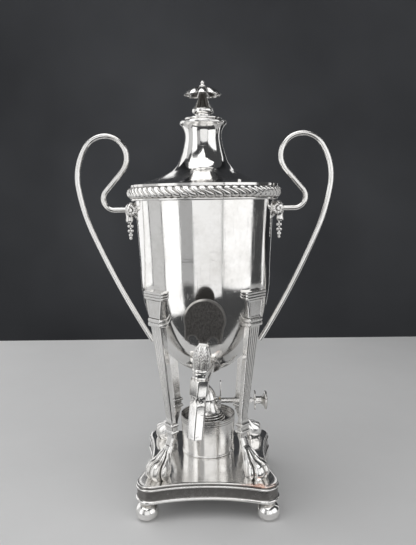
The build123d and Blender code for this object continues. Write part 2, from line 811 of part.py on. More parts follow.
# Ball feet: squashed balls with a flat to stand on, a collar under the plinth and a stud
foot_flat_r = foot_r * 0.42
foot_ball_h = foot_h - 1.2
with BuildPart() as foot_form:
    with BuildSketch(Plane.XZ):
        with BuildLine():
            sole = Line((0, 0), (foot_flat_r, 0))
            ball = ThreePointArc(sole @ 1, (foot_r, foot_ball_h / 2), (foot_flat_r, foot_ball_h))
            Polyline(
                ball @ 1,
                (foot_flat_r + 1.6, foot_ball_h),
                (foot_flat_r + 1.6, plinth_z),
                (0, plinth_z),
                sole @ 0,
            )
        make_face()
    revolve(axis=Axis.Z)
    with BuildSketch(Plane.XY.offset(plinth_z)):
        Circle(foot_stud_r)
    extrude(amount=gusset_t + nut_h + 1.5)
with BuildPart() as foot_nuts:
    with BuildSketch(Plane.XY.offset(plinth_z + gusset_t)):
        with PolarLocations(foot_place_r, leg_count, start_angle=45):
            RegularPolygon(2.1 * foot_stud_r, 6)
            Circle(foot_stud_r, mode=Mode.SUBTRACT)
    extrude(amount=nut_h)
save(foot_nuts.part, "foot_nuts")

for corner, turn in corners.items():
    with BuildPart() as ball_foot:
        with Locations(Rotation(0, 0, turn)):
            with Locations((foot_place_r, 0, 0)):
                add(foot_form.part)
    save(ball_foot.part, f"ball_foot_{corner}")

# Screws up through the plate into the paws
with BuildPart() as paw_screws:
    with BuildSketch(Plane.XY.offset(plate_z - sheet_t)):
        with PolarLocations(paw_screw_place_r, leg_count, start_angle=45):
            Circle(2.1 * paw_screw_r)
    extrude(amount=-2.0)
    with BuildSketch(Plane.XY.offset(plate_z - sheet_t)):
        with PolarLocations(paw_screw_place_r, leg_count, start_angle=45):
            Circle(paw_screw_r)
    extrude(amount=sheet_t + 10)
save(paw_screws.part, "paw_screws")

# Tap barrel: tube from the bowl, six-sided block with the seat of the plug, and the spout
block_low = -block_h / 2
block_top = block_h / 2
neck_top = block_top + neck_h
spout_low = -spout_drop
with BuildPart() as tap_barrel:
    with BuildSketch(tube_plane):
        Circle(tube_r)
    extrude(amount=tap_reach - 20)
    with BuildSketch(tap_plane.offset(block_low)):
        RegularPolygon(block_r, 6, rotation=30)
    extrude(amount=block_h)
    with BuildSketch(tap_plane.offset(block_low)):
        RegularPolygon(block_r, 6, rotation=30)
    with BuildSketch(tap_plane.offset(block_low - block_taper_h)):
        RegularPolygon(spout_r, 6, rotation=30)
    loft(ruled=True)
    with BuildSketch(tap_plane.offset(block_top)):
        Circle(neck_r)
    extrude(amount=neck_h)
    with BuildSketch(tap_plane.offset(spout_low)):
        RegularPolygon(spout_r, 6, rotation=30)
    extrude(amount=spout_drop)
    with BuildSketch(tube_plane):
        Circle(tube_bore_r)
    extrude(amount=tap_reach, mode=Mode.SUBTRACT)
    with BuildSketch(tap_plane.offset(neck_top)):
        Circle(plug_r_top + plug_gap)
    with BuildSketch(tap_plane.offset(block_low - 1)):
        Circle(plug_r_bottom + plug_gap)
    loft(ruled=True, mode=Mode.SUBTRACT)
    with BuildSketch(tap_plane.offset(block_low - 1)):
        Circle(spout_bore_r)
    extrude(amount=spout_low - block_low, mode=Mode.SUBTRACT)
    add(vessel_form.part, mode=Mode.SUBTRACT)
save(tap_barrel.part, "tap_barrel")

# Rosette where the tube meets the bowl: a thin pad that follows the wall
with BuildPart() as tap_rosette:
    add(vessel_section(-rosette_t, bowl_z))
    revolve(axis=Axis.Z)
    with BuildSketch(tube_plane):
        Circle(rosette_r)
        Circle(tube_r, mode=Mode.SUBTRACT)
    extrude(amount=tap_reach - tube_r, mode=Mode.INTERSECT)
    add(vessel_form.part, mode=Mode.SUBTRACT)
save(tap_rosette.part, "tap_rosette")

# Tap plug: hollow taper with a side port, a shoulder ring, the bulb of the key and its tang
shoulder = neck_top + plug_gap
bulb_low = shoulder + key_ring_h
bulb_top = bulb_low + bulb_h
port_r = tube_bore_r - 0.6
with BuildPart() as tap_plug:
    with BuildSketch(tap_plane.offset(shoulder)):
        Circle(plug_r_top)
    with BuildSketch(tap_plane.offset(block_low)):
        Circle(plug_r_bottom)
    loft(ruled=True)
    with BuildSketch(tap_front):
        with BuildLine():
            seat = Line((0, shoulder), (key_ring_r - 0.6, shoulder))
            ring = ThreePointArc(
                seat @ 1, (key_ring_r, shoulder + key_ring_h / 2), (key_ring_r - 0.9, bulb_low)
            )
            belly = ThreePointArc(
                ring @ 1, (bulb_r, bulb_low + bulb_h * 0.3), (bulb_top_r, bulb_top)
            )
            Polyline(belly @ 1, (0, bulb_top), seat @ 0)
        make_face()
    revolve(axis=Axis(tap_origin, tap_axis))
    with BuildSketch(tap_plane.offset(bulb_top)):
        Rectangle(tang_w, tang_t)
    extrude(amount=tang_h)
    with BuildSketch(tap_plane.offset(block_low)):
        Circle(plug_bore_r)
    extrude(amount=block_h, mode=Mode.SUBTRACT)
    with BuildSketch(Plane(origin=tap_origin, x_dir=tap_in, z_dir=tap_side)):
        Circle(port_r)
    extrude(amount=2 * plug_r_top, mode=Mode.SUBTRACT)
    with BuildSketch(tap_front):
        with Locations((0, bulb_top + key_pin_rise)):
            Circle(key_pin_r + fit_gap)
    extrude(amount=tang_t, both=True, mode=Mode.SUBTRACT)
save(tap_plug.part, "tap_plug")

# Key: ebonised disc whose foot ends in two curled hooks beside the boss, slotted for the tang
key_turn = math.radians(key_disc_end)
key_plane = Plane(
    origin=tap_origin + tap_axis * key_disc_rise, x_dir=tap_front.x_dir, z_dir=tap_front.z_dir
)
with BuildPart() as key_handle:
    with BuildSketch(key_plane):
        with BuildLine():
            disc = ThreePointArc(
                (0, key_disc_r),
                (key_disc_r, 0),
                (key_disc_r * math.cos(key_turn), -key_disc_r * math.sin(key_turn)),
            )
            flank = TangentArc(disc @ 1, (key_hook_x + key_hook_r, -key_hook_drop), tangent=disc % 1)
            hook = TangentArc(flank @ 1, (key_hook_x - key_hook_r, -key_hook_drop), tangent=flank % 1)
            notch = ThreePointArc(
                hook @ 1,
                (key_notch_x, -key_notch_drop),
                (key_foot_w / 2 + key_hook_r, -key_hook_drop),
            )
            Line(notch @ 1, (key_foot_w / 2, -key_foot_drop))
            mirror(about=Plane.YZ)
            Line((key_foot_w / 2, -key_foot_drop), (-key_foot_w / 2, -key_foot_drop))
        make_face()
    extrude(amount=key_t / 2, both=True)
    rims = key_handle.edges().filter_by(GeomType.CIRCLE)
    chamfer(rims.filter_by(lambda rim: rim.radius > 2 * key_hook_r + key_edge), key_edge)
    with BuildSketch(tap_plane.offset(bulb_top - 1)):
        Rectangle(tang_w + 2 * fit_gap, tang_t + 2 * fit_gap)
    extrude(amount=tang_h + 1 + fit_gap, mode=Mode.SUBTRACT)
    add(tap_plug.part, mode=Mode.SUBTRACT)
    with BuildSketch(tap_front):
        with Locations((0, bulb_top + key_pin_rise)):
            Circle(key_pin_r)
    extrude(amount=key_t, both=True, mode=Mode.SUBTRACT)
save(key_handle.part, "key_handle")

# Pin through the wood and the tang
with BuildPart() as key_pin:
    with BuildSketch(tap_front):
        with Locations((0, bulb_top + key_pin_rise)):
            Circle(key_pin_r)
    extrude(amount=key_t / 2 + 0.2, both=True)
save(key_pin.part, "key_pin")

# Lamp reservoir: tapering drum with a foot ring, closed by a sunken deck under its rim
lamp_profile = Plane(origin=(0, lamp_y, 0), x_dir=(1, 0, 0), z_dir=(0, -1, 0))
lamp_axis = Axis((0, lamp_y, 0), (0, 0, 1))
with BuildPart() as lamp_reservoir:
    with BuildSketch(lamp_profile):
        with BuildLine():
            base = Line((0, lamp_z), (lamp_r_foot, lamp_z))
            ring = ThreePointArc(
                base @ 1,
                (lamp_r_foot + lamp_ring_r, lamp_z + lamp_ring_r),
                (lamp_r_foot + 0.2, lamp_z + 2 * lamp_ring_r),
            )
            Polyline(
                ring @ 1,
                (lamp_r_top, lamp_top_z),
                (lamp_r_top - lamp_wall, lamp_top_z),
                (lamp_r_top - lamp_wall - 0.6, deck_z),
                (lamp_r_top - 2 * lamp_wall - 0.6, deck_z - lamp_wall),
                (lamp_r_foot - lamp_wall, lamp_z + lamp_wall),
                (0, lamp_z + lamp_wall),
                (0, lamp_z),
            )
        make_face()
    revolve(axis=lamp_axis)
save(lamp_reservoir.part, "lamp_reservoir")

# Deck of the lamp, with the filling hole that the burner stands in
with BuildPart() as lamp_deck:
    with BuildSketch(lamp_profile):
        with BuildLine():
            Polyline(
                (burner_r_top, deck_z),
                (lamp_r_top - lamp_wall - 0.6, deck_z),
                (lamp_r_top - 2 * lamp_wall - 0.6, deck_z - lamp_wall),
                (burner_r_top, deck_z - lamp_wall),
                close=True,
            )
        make_face()
    revolve(axis=lamp_axis)
save(lamp_deck.part, "lamp_deck")

# Collar of the burner: three stepped rings on the deck
step_h = lamp_collar_h / lamp_collar_steps
with BuildPart() as lamp_collar:
    with BuildSketch(lamp_profile):
        with BuildLine():
            floor = Line((burner_r_top, deck_z), (lamp_collar_r - 0.8, deck_z))
            last = floor
            for i in range(lamp_collar_steps):
                r = lamp_collar_r - 1.4 * i
                z = deck_z + i * step_h
                if i:
                    last = Line(last @ 1, (r - 0.8, z))
                last = ThreePointArc(last @ 1, (r, z + step_h / 2), (r - 0.8, z + step_h))
            Polyline(last @ 1, (burner_r_top, burner_z), floor @ 0)
        make_face()
    revolve(axis=lamp_axis)
save(lamp_collar.part, "lamp_collar")

# Burner: hollow cone over the collar, slotted at its top for a flat wick
burner_waist_r = burner_r_top + 1.4
burner_waist_z = burner_z + burner_h * 0.45


def burner_section(inset):
    """Half section of the burner's cone, drawn a distance inside its flank and its roof."""
    top = burner_top_z - inset
    with BuildSketch(lamp_profile) as section:
        with BuildLine():
            skirt = Line((0, burner_z), (burner_r_foot - inset, burner_z))
            flank = ThreePointArc(
                skirt @ 1, (burner_waist_r - inset, burner_waist_z), (burner_r_top - inset, top)
            )
            Polyline(flank @ 1, (0, top), skirt @ 0)
        make_face()
    return section.sketch


with BuildPart() as burner_form:
    add(burner_section(0))
    revolve(axis=lamp_axis)
with BuildPart() as burner_cone:
    add(burner_form.part)
    add(burner_section(burner_t))
    revolve(axis=lamp_axis, mode=Mode.SUBTRACT)
    with BuildSketch(Plane.XY.offset(burner_top_z)):
        with Locations((0, lamp_y)):
            Rectangle(wick_w + 2 * wick_gap, wick_t + 2 * wick_gap)
    extrude(amount=-2 * burner_t, mode=Mode.SUBTRACT)
    with BuildSketch(Plane(origin=(0, winder_y, winder_z), z_dir=(1, 0, 0))):
        Circle(winder_r)
    extrude(amount=2 * burner_r_foot, mode=Mode.SUBTRACT)
save(burner_cone.part, "burner_cone")

# Wick: flat, from just above the burner down into the spirit
with BuildPart() as wick:
    with BuildSketch(Plane.XY.offset(burner_top_z + wick_stand)):
        with Locations((0, lamp_y)):
            Rectangle(wick_w, wick_t)
    extrude(amount=-(burner_top_z + wick_stand - lamp_z - 8.0))
save(wick.part, "wick")

# Winder tube from the burner out to the right
tube_start = burner_r_top - 1.0
with BuildPart() as winder_tube:
    with BuildSketch(Plane(origin=(tube_start, winder_y, winder_z), z_dir=(1, 0, 0))):
        Circle(winder_r)
        Circle(shaft_r + shaft_gap, mode=Mode.SUBTRACT)
    extrude(amount=winder_reach - tube_start)
save(winder_tube.part, "winder_tube")

# Winder shaft, its spiked wheel against the wick, the thin disc, the hub and the flared knob
with BuildPart() as winder_shaft:
    shaft_plane = Plane(origin=(-wick_w / 2, winder_y, winder_z), z_dir=(1, 0, 0))
    with BuildSketch(shaft_plane):
        Circle(shaft_r)
    extrude(amount=knob_x + wick_w / 2)
    for start in (-wick_w / 2 + 1.0, wick_w / 2 - 2.6):
        with BuildSketch(Plane(origin=(start, winder_y, winder_z), z_dir=(1, 0, 0))):
            Circle(wheel_r - 0.6)
            with PolarLocations(wheel_r - 0.65, wheel_teeth):
                Rectangle(1.2, 0.5)
        extrude(amount=1.6)
save(winder_shaft.part, "winder_shaft")

with BuildPart() as winder_disc:
    with BuildSketch(Plane(origin=(disc_x, winder_y, winder_z), z_dir=(1, 0, 0))):
        Circle(disc_r)
        Circle(shaft_r, mode=Mode.SUBTRACT)
    extrude(amount=disc_t)
    fillet(winder_disc.edges().filter_by(GeomType.CIRCLE).sort_by(SortBy.RADIUS)[-2:], disc_t * 0.4)
save(winder_disc.part, "winder_disc")

knob_profile = Plane(origin=(0, winder_y, winder_z), x_dir=(1, 0, 0), z_dir=(0, -1, 0))
with BuildPart() as winder_knob:
    with BuildSketch(knob_profile):
        with BuildLine():
            neck = Line((disc_x + disc_t, shaft_r), (disc_x + disc_t, hub_r))
            hub = Line(neck @ 1, (knob_x - 1.0, hub_r))
            flare = ThreePointArc(
                hub @ 1, (knob_x + 1.4, hub_r + 2.2), (knob_x + knob_t * 0.45, knob_r - 0.6)
            )
            rim = ThreePointArc(
                flare @ 1, (knob_x + knob_t * 0.62, knob_r), (knob_x + knob_t * 0.8, knob_r - 0.8)
            )
            face = ThreePointArc(
                rim @ 1, (knob_x + knob_t * 0.96, knob_r * 0.5), (knob_x + knob_t, 0.6)
            )
            Polyline(face @ 1, (knob_x + knob_t, 0), (knob_x, 0), (knob_x, shaft_r), neck @ 0)
        make_face()
    revolve(axis=Axis((0, winder_y, winder_z), (1, 0, 0)))
save(winder_knob.part, "winder_knob")

# Snuffer: a cone that sits on the burner, hinged at its right on a lug of the burner
hinge_y = lamp_y - hinge_front
hinge_z = cap_z + hinge_rise
leaf_half = hinge_half - ear_t - hinge_gap
hinge_plane = Plane(origin=(hinge_x, hinge_y, hinge_z), x_dir=(1, 0, 0), z_dir=(0, -1, 0))
cap_curve = [
    (cap_r, cap_z),
    (cap_r * 0.78, cap_z + cap_h * 0.38),
    (cap_r * 0.36, cap_z + cap_h * 0.78),
    (0.8, cap_z + cap_h),
]
cap_hollow = [(max(x - cap_t, 0.2), z - cap_t) for x, z in cap_curve]
cap_hollow[0] = (cap_r - cap_t, cap_z)
with BuildPart() as snuffer_cap:
    with BuildSketch(lamp_profile):
        with BuildLine():
            flank = arc_chain(cap_curve)
            inside = arc_chain(cap_hollow)
            Line(cap_curve[0], cap_hollow[0])
            tip = Polyline(cap_curve[-1], (0, cap_z + cap_h), (0, cap_hollow[-1][1]), cap_hollow[-1])
        make_face()
    revolve(axis=lamp_axis)
    with BuildSketch(hinge_plane):
        Circle(hinge_knuckle_r)
    extrude(amount=leaf_half, both=True)
    with BuildSketch(Plane.XY.offset(cap_z)):
        with Locations((cap_r - 1.5, hinge_y)):
            Rectangle(hinge_x - cap_r + 1.5, 2 * leaf_half, align=(Align.MIN, Align.CENTER))
    extrude(amount=1.6)
    with BuildSketch(Plane.XY.offset(hinge_z)):
        with Locations((hinge_x + 1.0, hinge_y)):
            Rectangle(lever_t, 2 * leaf_half)
    extrude(amount=lever_foot + lever_t)
    with BuildSketch(Plane.XY.offset(hinge_z + lever_foot)):
        with Locations((hinge_x + 1.0, hinge_y)):
            Rectangle(lever_t, lever_w)
    extrude(amount=lever_h - lever_foot)
    with BuildSketch(hinge_plane):
        Circle(hinge_pin_r + hinge_gap)
    extrude(amount=hinge_half, both=True, mode=Mode.SUBTRACT)
save(snuffer_cap.part, "snuffer_cap")

# Pin of the hinge
with BuildPart() as snuffer_pin:
    with BuildSketch(hinge_plane):
        Circle(hinge_pin_r)
    extrude(amount=hinge_half, both=True)
save(snuffer_pin.part, "snuffer_pin")

# Bracket of the hinge: two ears that spring from the flank of the burner
with BuildPart() as snuffer_bracket:
    for front in (hinge_half, ear_t - hinge_half):
        with BuildSketch(hinge_plane.offset(front)):
            with BuildLine():
                Polyline(
                    (-hinge_knuckle_r + 0.2, 0),
                    (hinge_knuckle_r - 0.2, 0),
                    (hinge_knuckle_r - 0.8, burner_z + 6.0 - hinge_z),
                    (burner_r_top - hinge_x, burner_z + 3.0 - hinge_z),
                    (burner_r_top - hinge_x, burner_z + 7.0 - hinge_z),
                    close=True,
                )
            make_face()
            Circle(hinge_knuckle_r - 0.2)
        extrude(amount=-ear_t)
    with BuildSketch(hinge_plane):
        Circle(hinge_pin_r)
    extrude(amount=2 * hinge_half, both=True, mode=Mode.SUBTRACT)
    add(burner_form.part, mode=Mode.SUBTRACT)
save(snuffer_bracket.part, "snuffer_bracket")
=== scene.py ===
"""Looks of a silver tea urn, laid out as an add-on and run as a script.

Each operator makes one piece, or one group of like pieces, as numpy arrays in the frame of the
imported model. Shapes are worked out in millimetres and stored in metres.
"""

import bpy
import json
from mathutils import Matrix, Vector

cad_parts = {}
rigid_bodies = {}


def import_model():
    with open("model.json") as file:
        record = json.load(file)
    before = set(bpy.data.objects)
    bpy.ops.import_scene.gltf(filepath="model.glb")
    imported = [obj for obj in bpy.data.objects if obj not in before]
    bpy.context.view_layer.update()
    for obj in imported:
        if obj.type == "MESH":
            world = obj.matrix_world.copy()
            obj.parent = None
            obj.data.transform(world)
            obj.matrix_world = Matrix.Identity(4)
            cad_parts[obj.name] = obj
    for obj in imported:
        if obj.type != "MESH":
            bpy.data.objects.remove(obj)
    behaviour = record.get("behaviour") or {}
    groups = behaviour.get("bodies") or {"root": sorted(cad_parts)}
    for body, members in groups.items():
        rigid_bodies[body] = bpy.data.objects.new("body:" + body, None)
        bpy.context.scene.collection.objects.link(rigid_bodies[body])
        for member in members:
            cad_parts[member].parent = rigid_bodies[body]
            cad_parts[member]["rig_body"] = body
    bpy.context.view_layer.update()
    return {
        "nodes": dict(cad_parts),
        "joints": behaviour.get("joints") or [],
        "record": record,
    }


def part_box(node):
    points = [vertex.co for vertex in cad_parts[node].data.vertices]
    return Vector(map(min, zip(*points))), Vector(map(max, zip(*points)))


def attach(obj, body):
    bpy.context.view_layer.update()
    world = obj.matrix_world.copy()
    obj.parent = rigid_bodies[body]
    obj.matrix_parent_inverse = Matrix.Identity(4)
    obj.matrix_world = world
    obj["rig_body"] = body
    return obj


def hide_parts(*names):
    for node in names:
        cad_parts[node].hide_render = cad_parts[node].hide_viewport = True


bl_info = {
    "name": "Tea Urn Looks",
    "version": (1, 0, 0),
    "blender": (4, 5, 0),
    "location": "View3D > Sidebar > Tea Urn",
    "description": "Makes the visible pieces, the finishes and the stage of a silver tea urn",
    "category": "Add Mesh",
}

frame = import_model()

import json
import math

import bmesh
import bpy
import numpy as np
import openvdb
from bpy.props import FloatProperty, FloatVectorProperty, IntProperty, PointerProperty
from mathutils import Euler, Matrix, Vector

MM = 0.001

# Places that the pieces share with the solids, in millimetres, and turns about Z in degrees
CORNERS = {"front_left": 225.0, "front_right": 315.0, "rear_right": 45.0, "rear_left": 135.0}
SIDES = {"left": 180.0, "right": 0.0}
BODY_R = 70.5
BOWL_Z = 252.3
BOWL_DEPTH = 113.0
FLARE = 0.9 * math.tan(math.radians(3.2))
TAP = next(joint for joint in frame["joints"] if joint["name"] == "tap_turn")
TAP_ORIGIN = np.array(TAP["pos_m"]) / MM
TAP_LEAN = math.acos(TAP["axis"][2])
TAP_HEADING = math.atan2(-TAP["axis"][1], TAP["axis"][0])
PLATE_Z = 39.4


def node_box(node):
    """Lowest and highest corner of a solid, in millimetres."""
    low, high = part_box(node)
    return np.array(low) / MM, np.array(high) / MM


# Surfaces


def grid_quads(rows, columns, close_rows=False, close_columns=False):
    """Quads between the neighbours of a grid of points that is stored row after row."""
    i = np.arange(rows if close_rows else rows - 1)[:, None]
    j = np.arange(columns if close_columns else columns - 1)[None, :]
    below = (i + 1) % rows
    beside = (j + 1) % columns
    corners = [i * columns + j, below * columns + j, below * columns + beside, i * columns + beside]
    return np.stack(np.broadcast_arrays(*corners), -1).reshape(-1, 4)


def xyz(x, y, z):
    """Points from their three coordinates, spread to one shape."""
    return np.stack(np.broadcast_arrays(x, y, z), -1)


def polar(r, turn, z):
    """Points round Z from their radius, angle in radians and height."""
    return xyz(r * np.cos(turn), r * np.sin(turn), z)


def raised(points, z):
    """Points moved up."""
    return points + np.array([0, 0, z])


def turned(points, degrees):
    """Points turned about Z by an angle."""
    c, s = math.cos(math.radians(degrees)), math.sin(math.radians(degrees))
    x, y, z = np.moveaxis(points, -1, 0)
    return xyz(x * c - y * s, x * s + y * c, z)


def in_tap_frame(points):
    """Points given across, towards the bowl and up along the key's axis, set in their place."""
    c, s = math.cos(TAP_LEAN), math.sin(TAP_LEAN)
    x, y, z = np.moveaxis(points, -1, 0)
    leaning = xyz(x * c + z * s, y, z * c - x * s)
    return turned(leaning, -math.degrees(TAP_HEADING)) + TAP_ORIGIN


def smooth_step(x, low, high):
    """Share of the way from low to high, eased at both ends."""
    t = np.clip((x - low) / (high - low), 0, 1)
    return t * t * (3 - 2 * t)


def window(x, low, full, falling, high):
    """One between two values and nought outside, eased over a span at each end."""
    return smooth_step(x, low, full) * (1 - smooth_step(x, falling, high))


def bump_at(x, middle, half):
    """Half-round swelling of height one about a middle, nought beyond its half width."""
    return np.sqrt(np.clip(1 - ((x - middle) / half) ** 2, 0, 1))


def edge_drop(across, wide, radius):
    """How far a front rounded at its edges falls back at each share of its half width."""
    corner = radius / (wide / 2)
    beyond = np.clip((np.abs(across) - 1 + corner) / corner, 0, 1)
    return radius * (1 - bump_at(beyond, 0, 1))


def values_of(items, key, width, kind=np.float32):
    """Array of one value of each item of a mesh."""
    values = np.empty(len(items) * width, kind)
    items.foreach_get(key, values)
    return values.reshape(-1, width)


def add_values(mesh, name, values):
    """Store a number on each point of a mesh, for its finish to read."""
    data = mesh.attributes.new(name, "FLOAT", "POINT").data
    data.foreach_set("value", values.astype(np.float32))


def hollow_of(mesh, reach, rounds):
    """How sunken each point is: its neighbours' mean, less the point, along the normal.

    The distance is divided by the squared spacing, which makes it a curvature, is averaged over
    the neighbours a few rounds, and is scaled so that a groove of radius `reach` reads one.
    """
    count = len(mesh.vertices)
    points = values_of(mesh.vertices, "co", 3).astype(float)
    normals = values_of(mesh.vertex_normals, "vector", 3)
    a, b = values_of(mesh.edges, "vertices", 2, np.int32).T
    degree = np.maximum(np.bincount(np.concatenate([a, b]), minlength=count), 1)
    step = points[b] - points[a]
    squared = np.maximum((step * step).sum(-1), 1e-12)
    rise_a = (step * normals[a]).sum(-1) / squared
    rise_b = -(step * normals[b]).sum(-1) / squared
    value = np.bincount(a, rise_a, count) + np.bincount(b, rise_b, count)
    value = 2 * value / degree * reach * MM
    for _ in range(rounds):
        around = np.bincount(a, value[b], count) + np.bincount(b, value[a], count)
        value = 0.4 * value + 0.6 * around / degree
    return np.clip(value, -1, 1)


def clean_up(mesh, gap, level=None):
    """Join points nearer than a gap and turn the faces outward.

    Faces that lie level with each other, to an angle, are joined where that angle is given.
    """
    clean = bmesh.new()
    clean.from_mesh(mesh)
    bmesh.ops.remove_doubles(clean, verts=clean.verts, dist=gap)
    if level is None:
        bmesh.ops.dissolve_degenerate(clean, edges=clean.edges, dist=1e-7)
    else:
        bmesh.ops.dissolve_limit(clean, angle_limit=level, verts=clean.verts, edges=clean.edges)
    bmesh.ops.recalc_face_normals(clean, faces=clean.faces)
    clean.to_mesh(mesh)
    clean.free()


def add_object(name, data):
    """Object in the scene for a mesh, a light or a camera."""
    obj = bpy.data.objects.new(name, data)
    bpy.context.scene.collection.objects.link(obj)
    return obj


def place_piece(name, mesh, kind, nodes, body):
    """Object for a mesh, in one of the finishes, riding on a body."""
    mesh.materials.append(finish(kind))
    obj = add_object(name, mesh)
    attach(obj, body)
    if nodes:
        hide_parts(*nodes)
    return obj


def make_piece(name, shells, kind, nodes=(), reach=1.2, rounds=3, angle=38.0,
               body="urn", slot="silver_plate"):
    """One piece from shells of points, in millimetres, and quads."""
    points, quads, start = [], [], 0
    for shell_points, shell_quads in shells:
        flat = np.asarray(shell_points, float).reshape(-1, 3)
        points.append(flat)
        quads.append(np.asarray(shell_quads) + start)
        start += len(flat)
    points = np.concatenate(points) * MM
    quads = np.concatenate(quads)
    mesh = bpy.data.meshes.new(name)
    mesh.from_pydata(points.tolist(), [], quads.tolist())
    clean_up(mesh, 4e-6)
    mesh.validate()
    mesh.polygons.foreach_set("use_smooth", np.ones(len(mesh.polygons), bool))
    mesh.set_sharp_from_angle(angle=math.radians(angle))
    add_values(mesh, "hollow", hollow_of(mesh, reach, rounds))
    return place_piece(name, mesh, kind, nodes, body)


def make_sets(turns, *rows):
    """A piece of every row at each place of a table of turns about Z, named after its place."""
    for place, turn in turns.items():
        for name, (points, quads), kind, node, *settings in rows:
            shells = [(turned(points, turn), quads)]
            make_piece(f"{name}_{place}", shells, kind, [f"{node}_{place}"], *settings)


def lofted(sections):
    """Closed shell over a stack of closed outlines, with a point in the middle of each end."""
    ends = [np.broadcast_to(s.mean(0), s.shape)[None] for s in (sections[0], sections[-1])]
    points = np.concatenate([ends[0], sections, ends[1]])
    return points, grid_quads(*points.shape[:2], close_columns=True)


def cast(field, low, high, pitch):
    """Skin of a rounded form: the zero surface of a distance worked out at every point of a box."""
    low = np.array(low, float)
    spans = [np.arange(a, b + pitch, pitch) for a, b in zip(low, high)]
    x, y, z = np.meshgrid(*spans, indexing="ij")
    grid = openvdb.FloatGrid(1.0)
    grid.copyFromArray(np.ascontiguousarray(field(x, y, z), np.float32))
    points, quads = grid.convertToQuads(isovalue=0.0)
    return np.array(points, float) * pitch + low, np.array(quads)


def blend_min(a, b, k):
    """Smaller of two distances, rounded where they meet over a width k."""
    h = np.clip(k - np.abs(a - b), 0, None) / k
    return np.minimum(a, b) - h * h * k / 4


def ball(place, middle, radii):
    """Distance, near enough, to an ellipsoid: its normed radius less one, by its least radius."""
    normed = sum(((p - m) / r) ** 2 for p, m, r in zip(place, middle, radii))
    return (np.sqrt(normed) - 1) * min(radii)


def rod(place, start, end, r_start, r_end):
    """Distance to a round rod between two points whose radius changes evenly."""
    run = [e - s for s, e in zip(start, end)]
    along = sum((p - s) * d for p, s, d in zip(place, start, run)) / sum(d * d for d in run)
    along = np.clip(along, 0, 1)
    gap = np.sqrt(sum((p - (s + along * d)) ** 2 for p, s, d in zip(place, start, run)))
    return gap - (r_start + along * (r_end - r_start))


def vessel_radius(z):
    """Outer radius of the vessel at a height: half an ellipse below, a slight flare above."""
    share = np.clip((BOWL_Z - z) / BOWL_DEPTH, 0, 1)
    bowl = BODY_R * np.sqrt(1 - share**2)
    return np.where(z > BOWL_Z, BODY_R + (z - BOWL_Z) * FLARE, bowl)


# Finishes


class Finish:
    """A material under way: its nodes, its shader and the place on the piece."""

    def __init__(self, name):
        self.material = bpy.data.materials.new(name)
        self.material.use_nodes = True
        self.tree = self.material.node_tree
        self.tree.nodes.clear()
        self.shader = self.node("ShaderNodeBsdfPrincipled")
        out = self.node("ShaderNodeOutputMaterial")
        self.join(self.shader.outputs[0], out.inputs["Surface"])
        self.place = self.node("ShaderNodeTexCoord").outputs["Object"]

    def node(self, kind, inputs=None, **settings):
        """Node with its settings made, and its inputs joined."""
        made = self.tree.nodes.new(kind)
        for key, value in settings.items():
            setattr(made, key, value)
        for key, value in (inputs or {}).items():
            self.join(value, made.inputs[key])
        return made

    def join(self, source, target):
        """Link a socket, or set a plain value."""
        if isinstance(source, bpy.types.NodeSocket):
            self.tree.links.new(source, target)
        else:
            target.default_value = source

    def noise(self, scale, detail=3.0, rough=0.5, stretch=(1, 1, 1), turn=(0, 0, 0)):
        """Cloudy pattern on the piece, in features per metre."""
        inputs = {"Vector": self.place, "Scale": stretch, "Rotation": turn}
        place = self.node("ShaderNodeMapping", inputs).outputs[0]
        inputs = {"Vector": place, "Scale": scale, "Detail": detail, "Roughness": rough}
        return self.node("ShaderNodeTexNoise", inputs).outputs["Fac"]

    def math(self, kind, a, b, clamp=False):
        inputs = {0: a, 1: b}
        return self.node("ShaderNodeMath", inputs, operation=kind, use_clamp=clamp).outputs[0]

    def times(self, a, b, clamp=False):
        return self.math("MULTIPLY", a, b, clamp)

    def plus(self, a, b, clamp=False):
        return self.math("ADD", a, b, clamp)

    def span(self, value, low, high, to_low=0.0, to_high=1.0):
        """Value moved from one span to another, held at the ends."""
        inputs = {"From Min": low, "From Max": high, "To Min": to_low, "To Max": to_high}
        return self.node("ShaderNodeMapRange", {"Value": value, **inputs}).outputs["Result"]

    def band(self, value, low, high, edge):
        """One between two values and nought outside, with an even slope at each end."""
        rise = self.span(value, low - edge, low)
        return self.times(rise, self.span(value, high, high + edge, 1.0, 0.0))

    def mix(self, share, a, b):
        """Colour between two colours."""
        a, b = (c if isinstance(c, bpy.types.NodeSocket) else (*c, 1.0) for c in (a, b))
        return self.node("ShaderNodeMix", {0: share, 6: a, 7: b}, data_type="RGBA").outputs[2]

    def attribute(self, name):
        return self.node("ShaderNodeAttribute", attribute_name=name).outputs["Fac"]

    def axis(self, letter):
        """One coordinate of the place on the piece, in metres."""
        return self.node("ShaderNodeSeparateXYZ", {0: self.place}).outputs[letter]

    def bump(self, height, distance, strength=1.0, below=None):
        inputs = {"Height": height, "Distance": distance, "Strength": strength}
        if below is not None:
            inputs["Normal"] = below
        return self.node("ShaderNodeBump", inputs).outputs[0]

    def set(self, **sockets):
        for key, value in sockets.items():
            socket = self.shader.inputs[key.replace("_", " ")]
            if isinstance(value, tuple):
                value = (*value, 1.0)
            self.join(value, socket)


# Heights in metres where dirt has stayed between mouldings, its soft edge and its share
PLINTH_GRIME = ((0.0246, 0.0339), (0.0366, 0.0384))
LAMP_GRIME = (
    (0.0764, 0.0769), (0.0787, 0.0793), (0.0812, 0.0818), (0.0837, 0.0844), (0.0992, 0.1004),
)
GRIME_EDGE = 0.0003
GRIME_SHARE = 0.62
# Place in metres where the plinth's plate is worn through: heights, their soft edge, and the spans
# over which the wear sets in to the right and towards the front
COPPER_HEIGHTS = (0.0384, 0.0400)
COPPER_EDGE = 0.0012
COPPER_RIGHT = (0.01, 0.04)
COPPER_FRONT = (-0.069, -0.066)


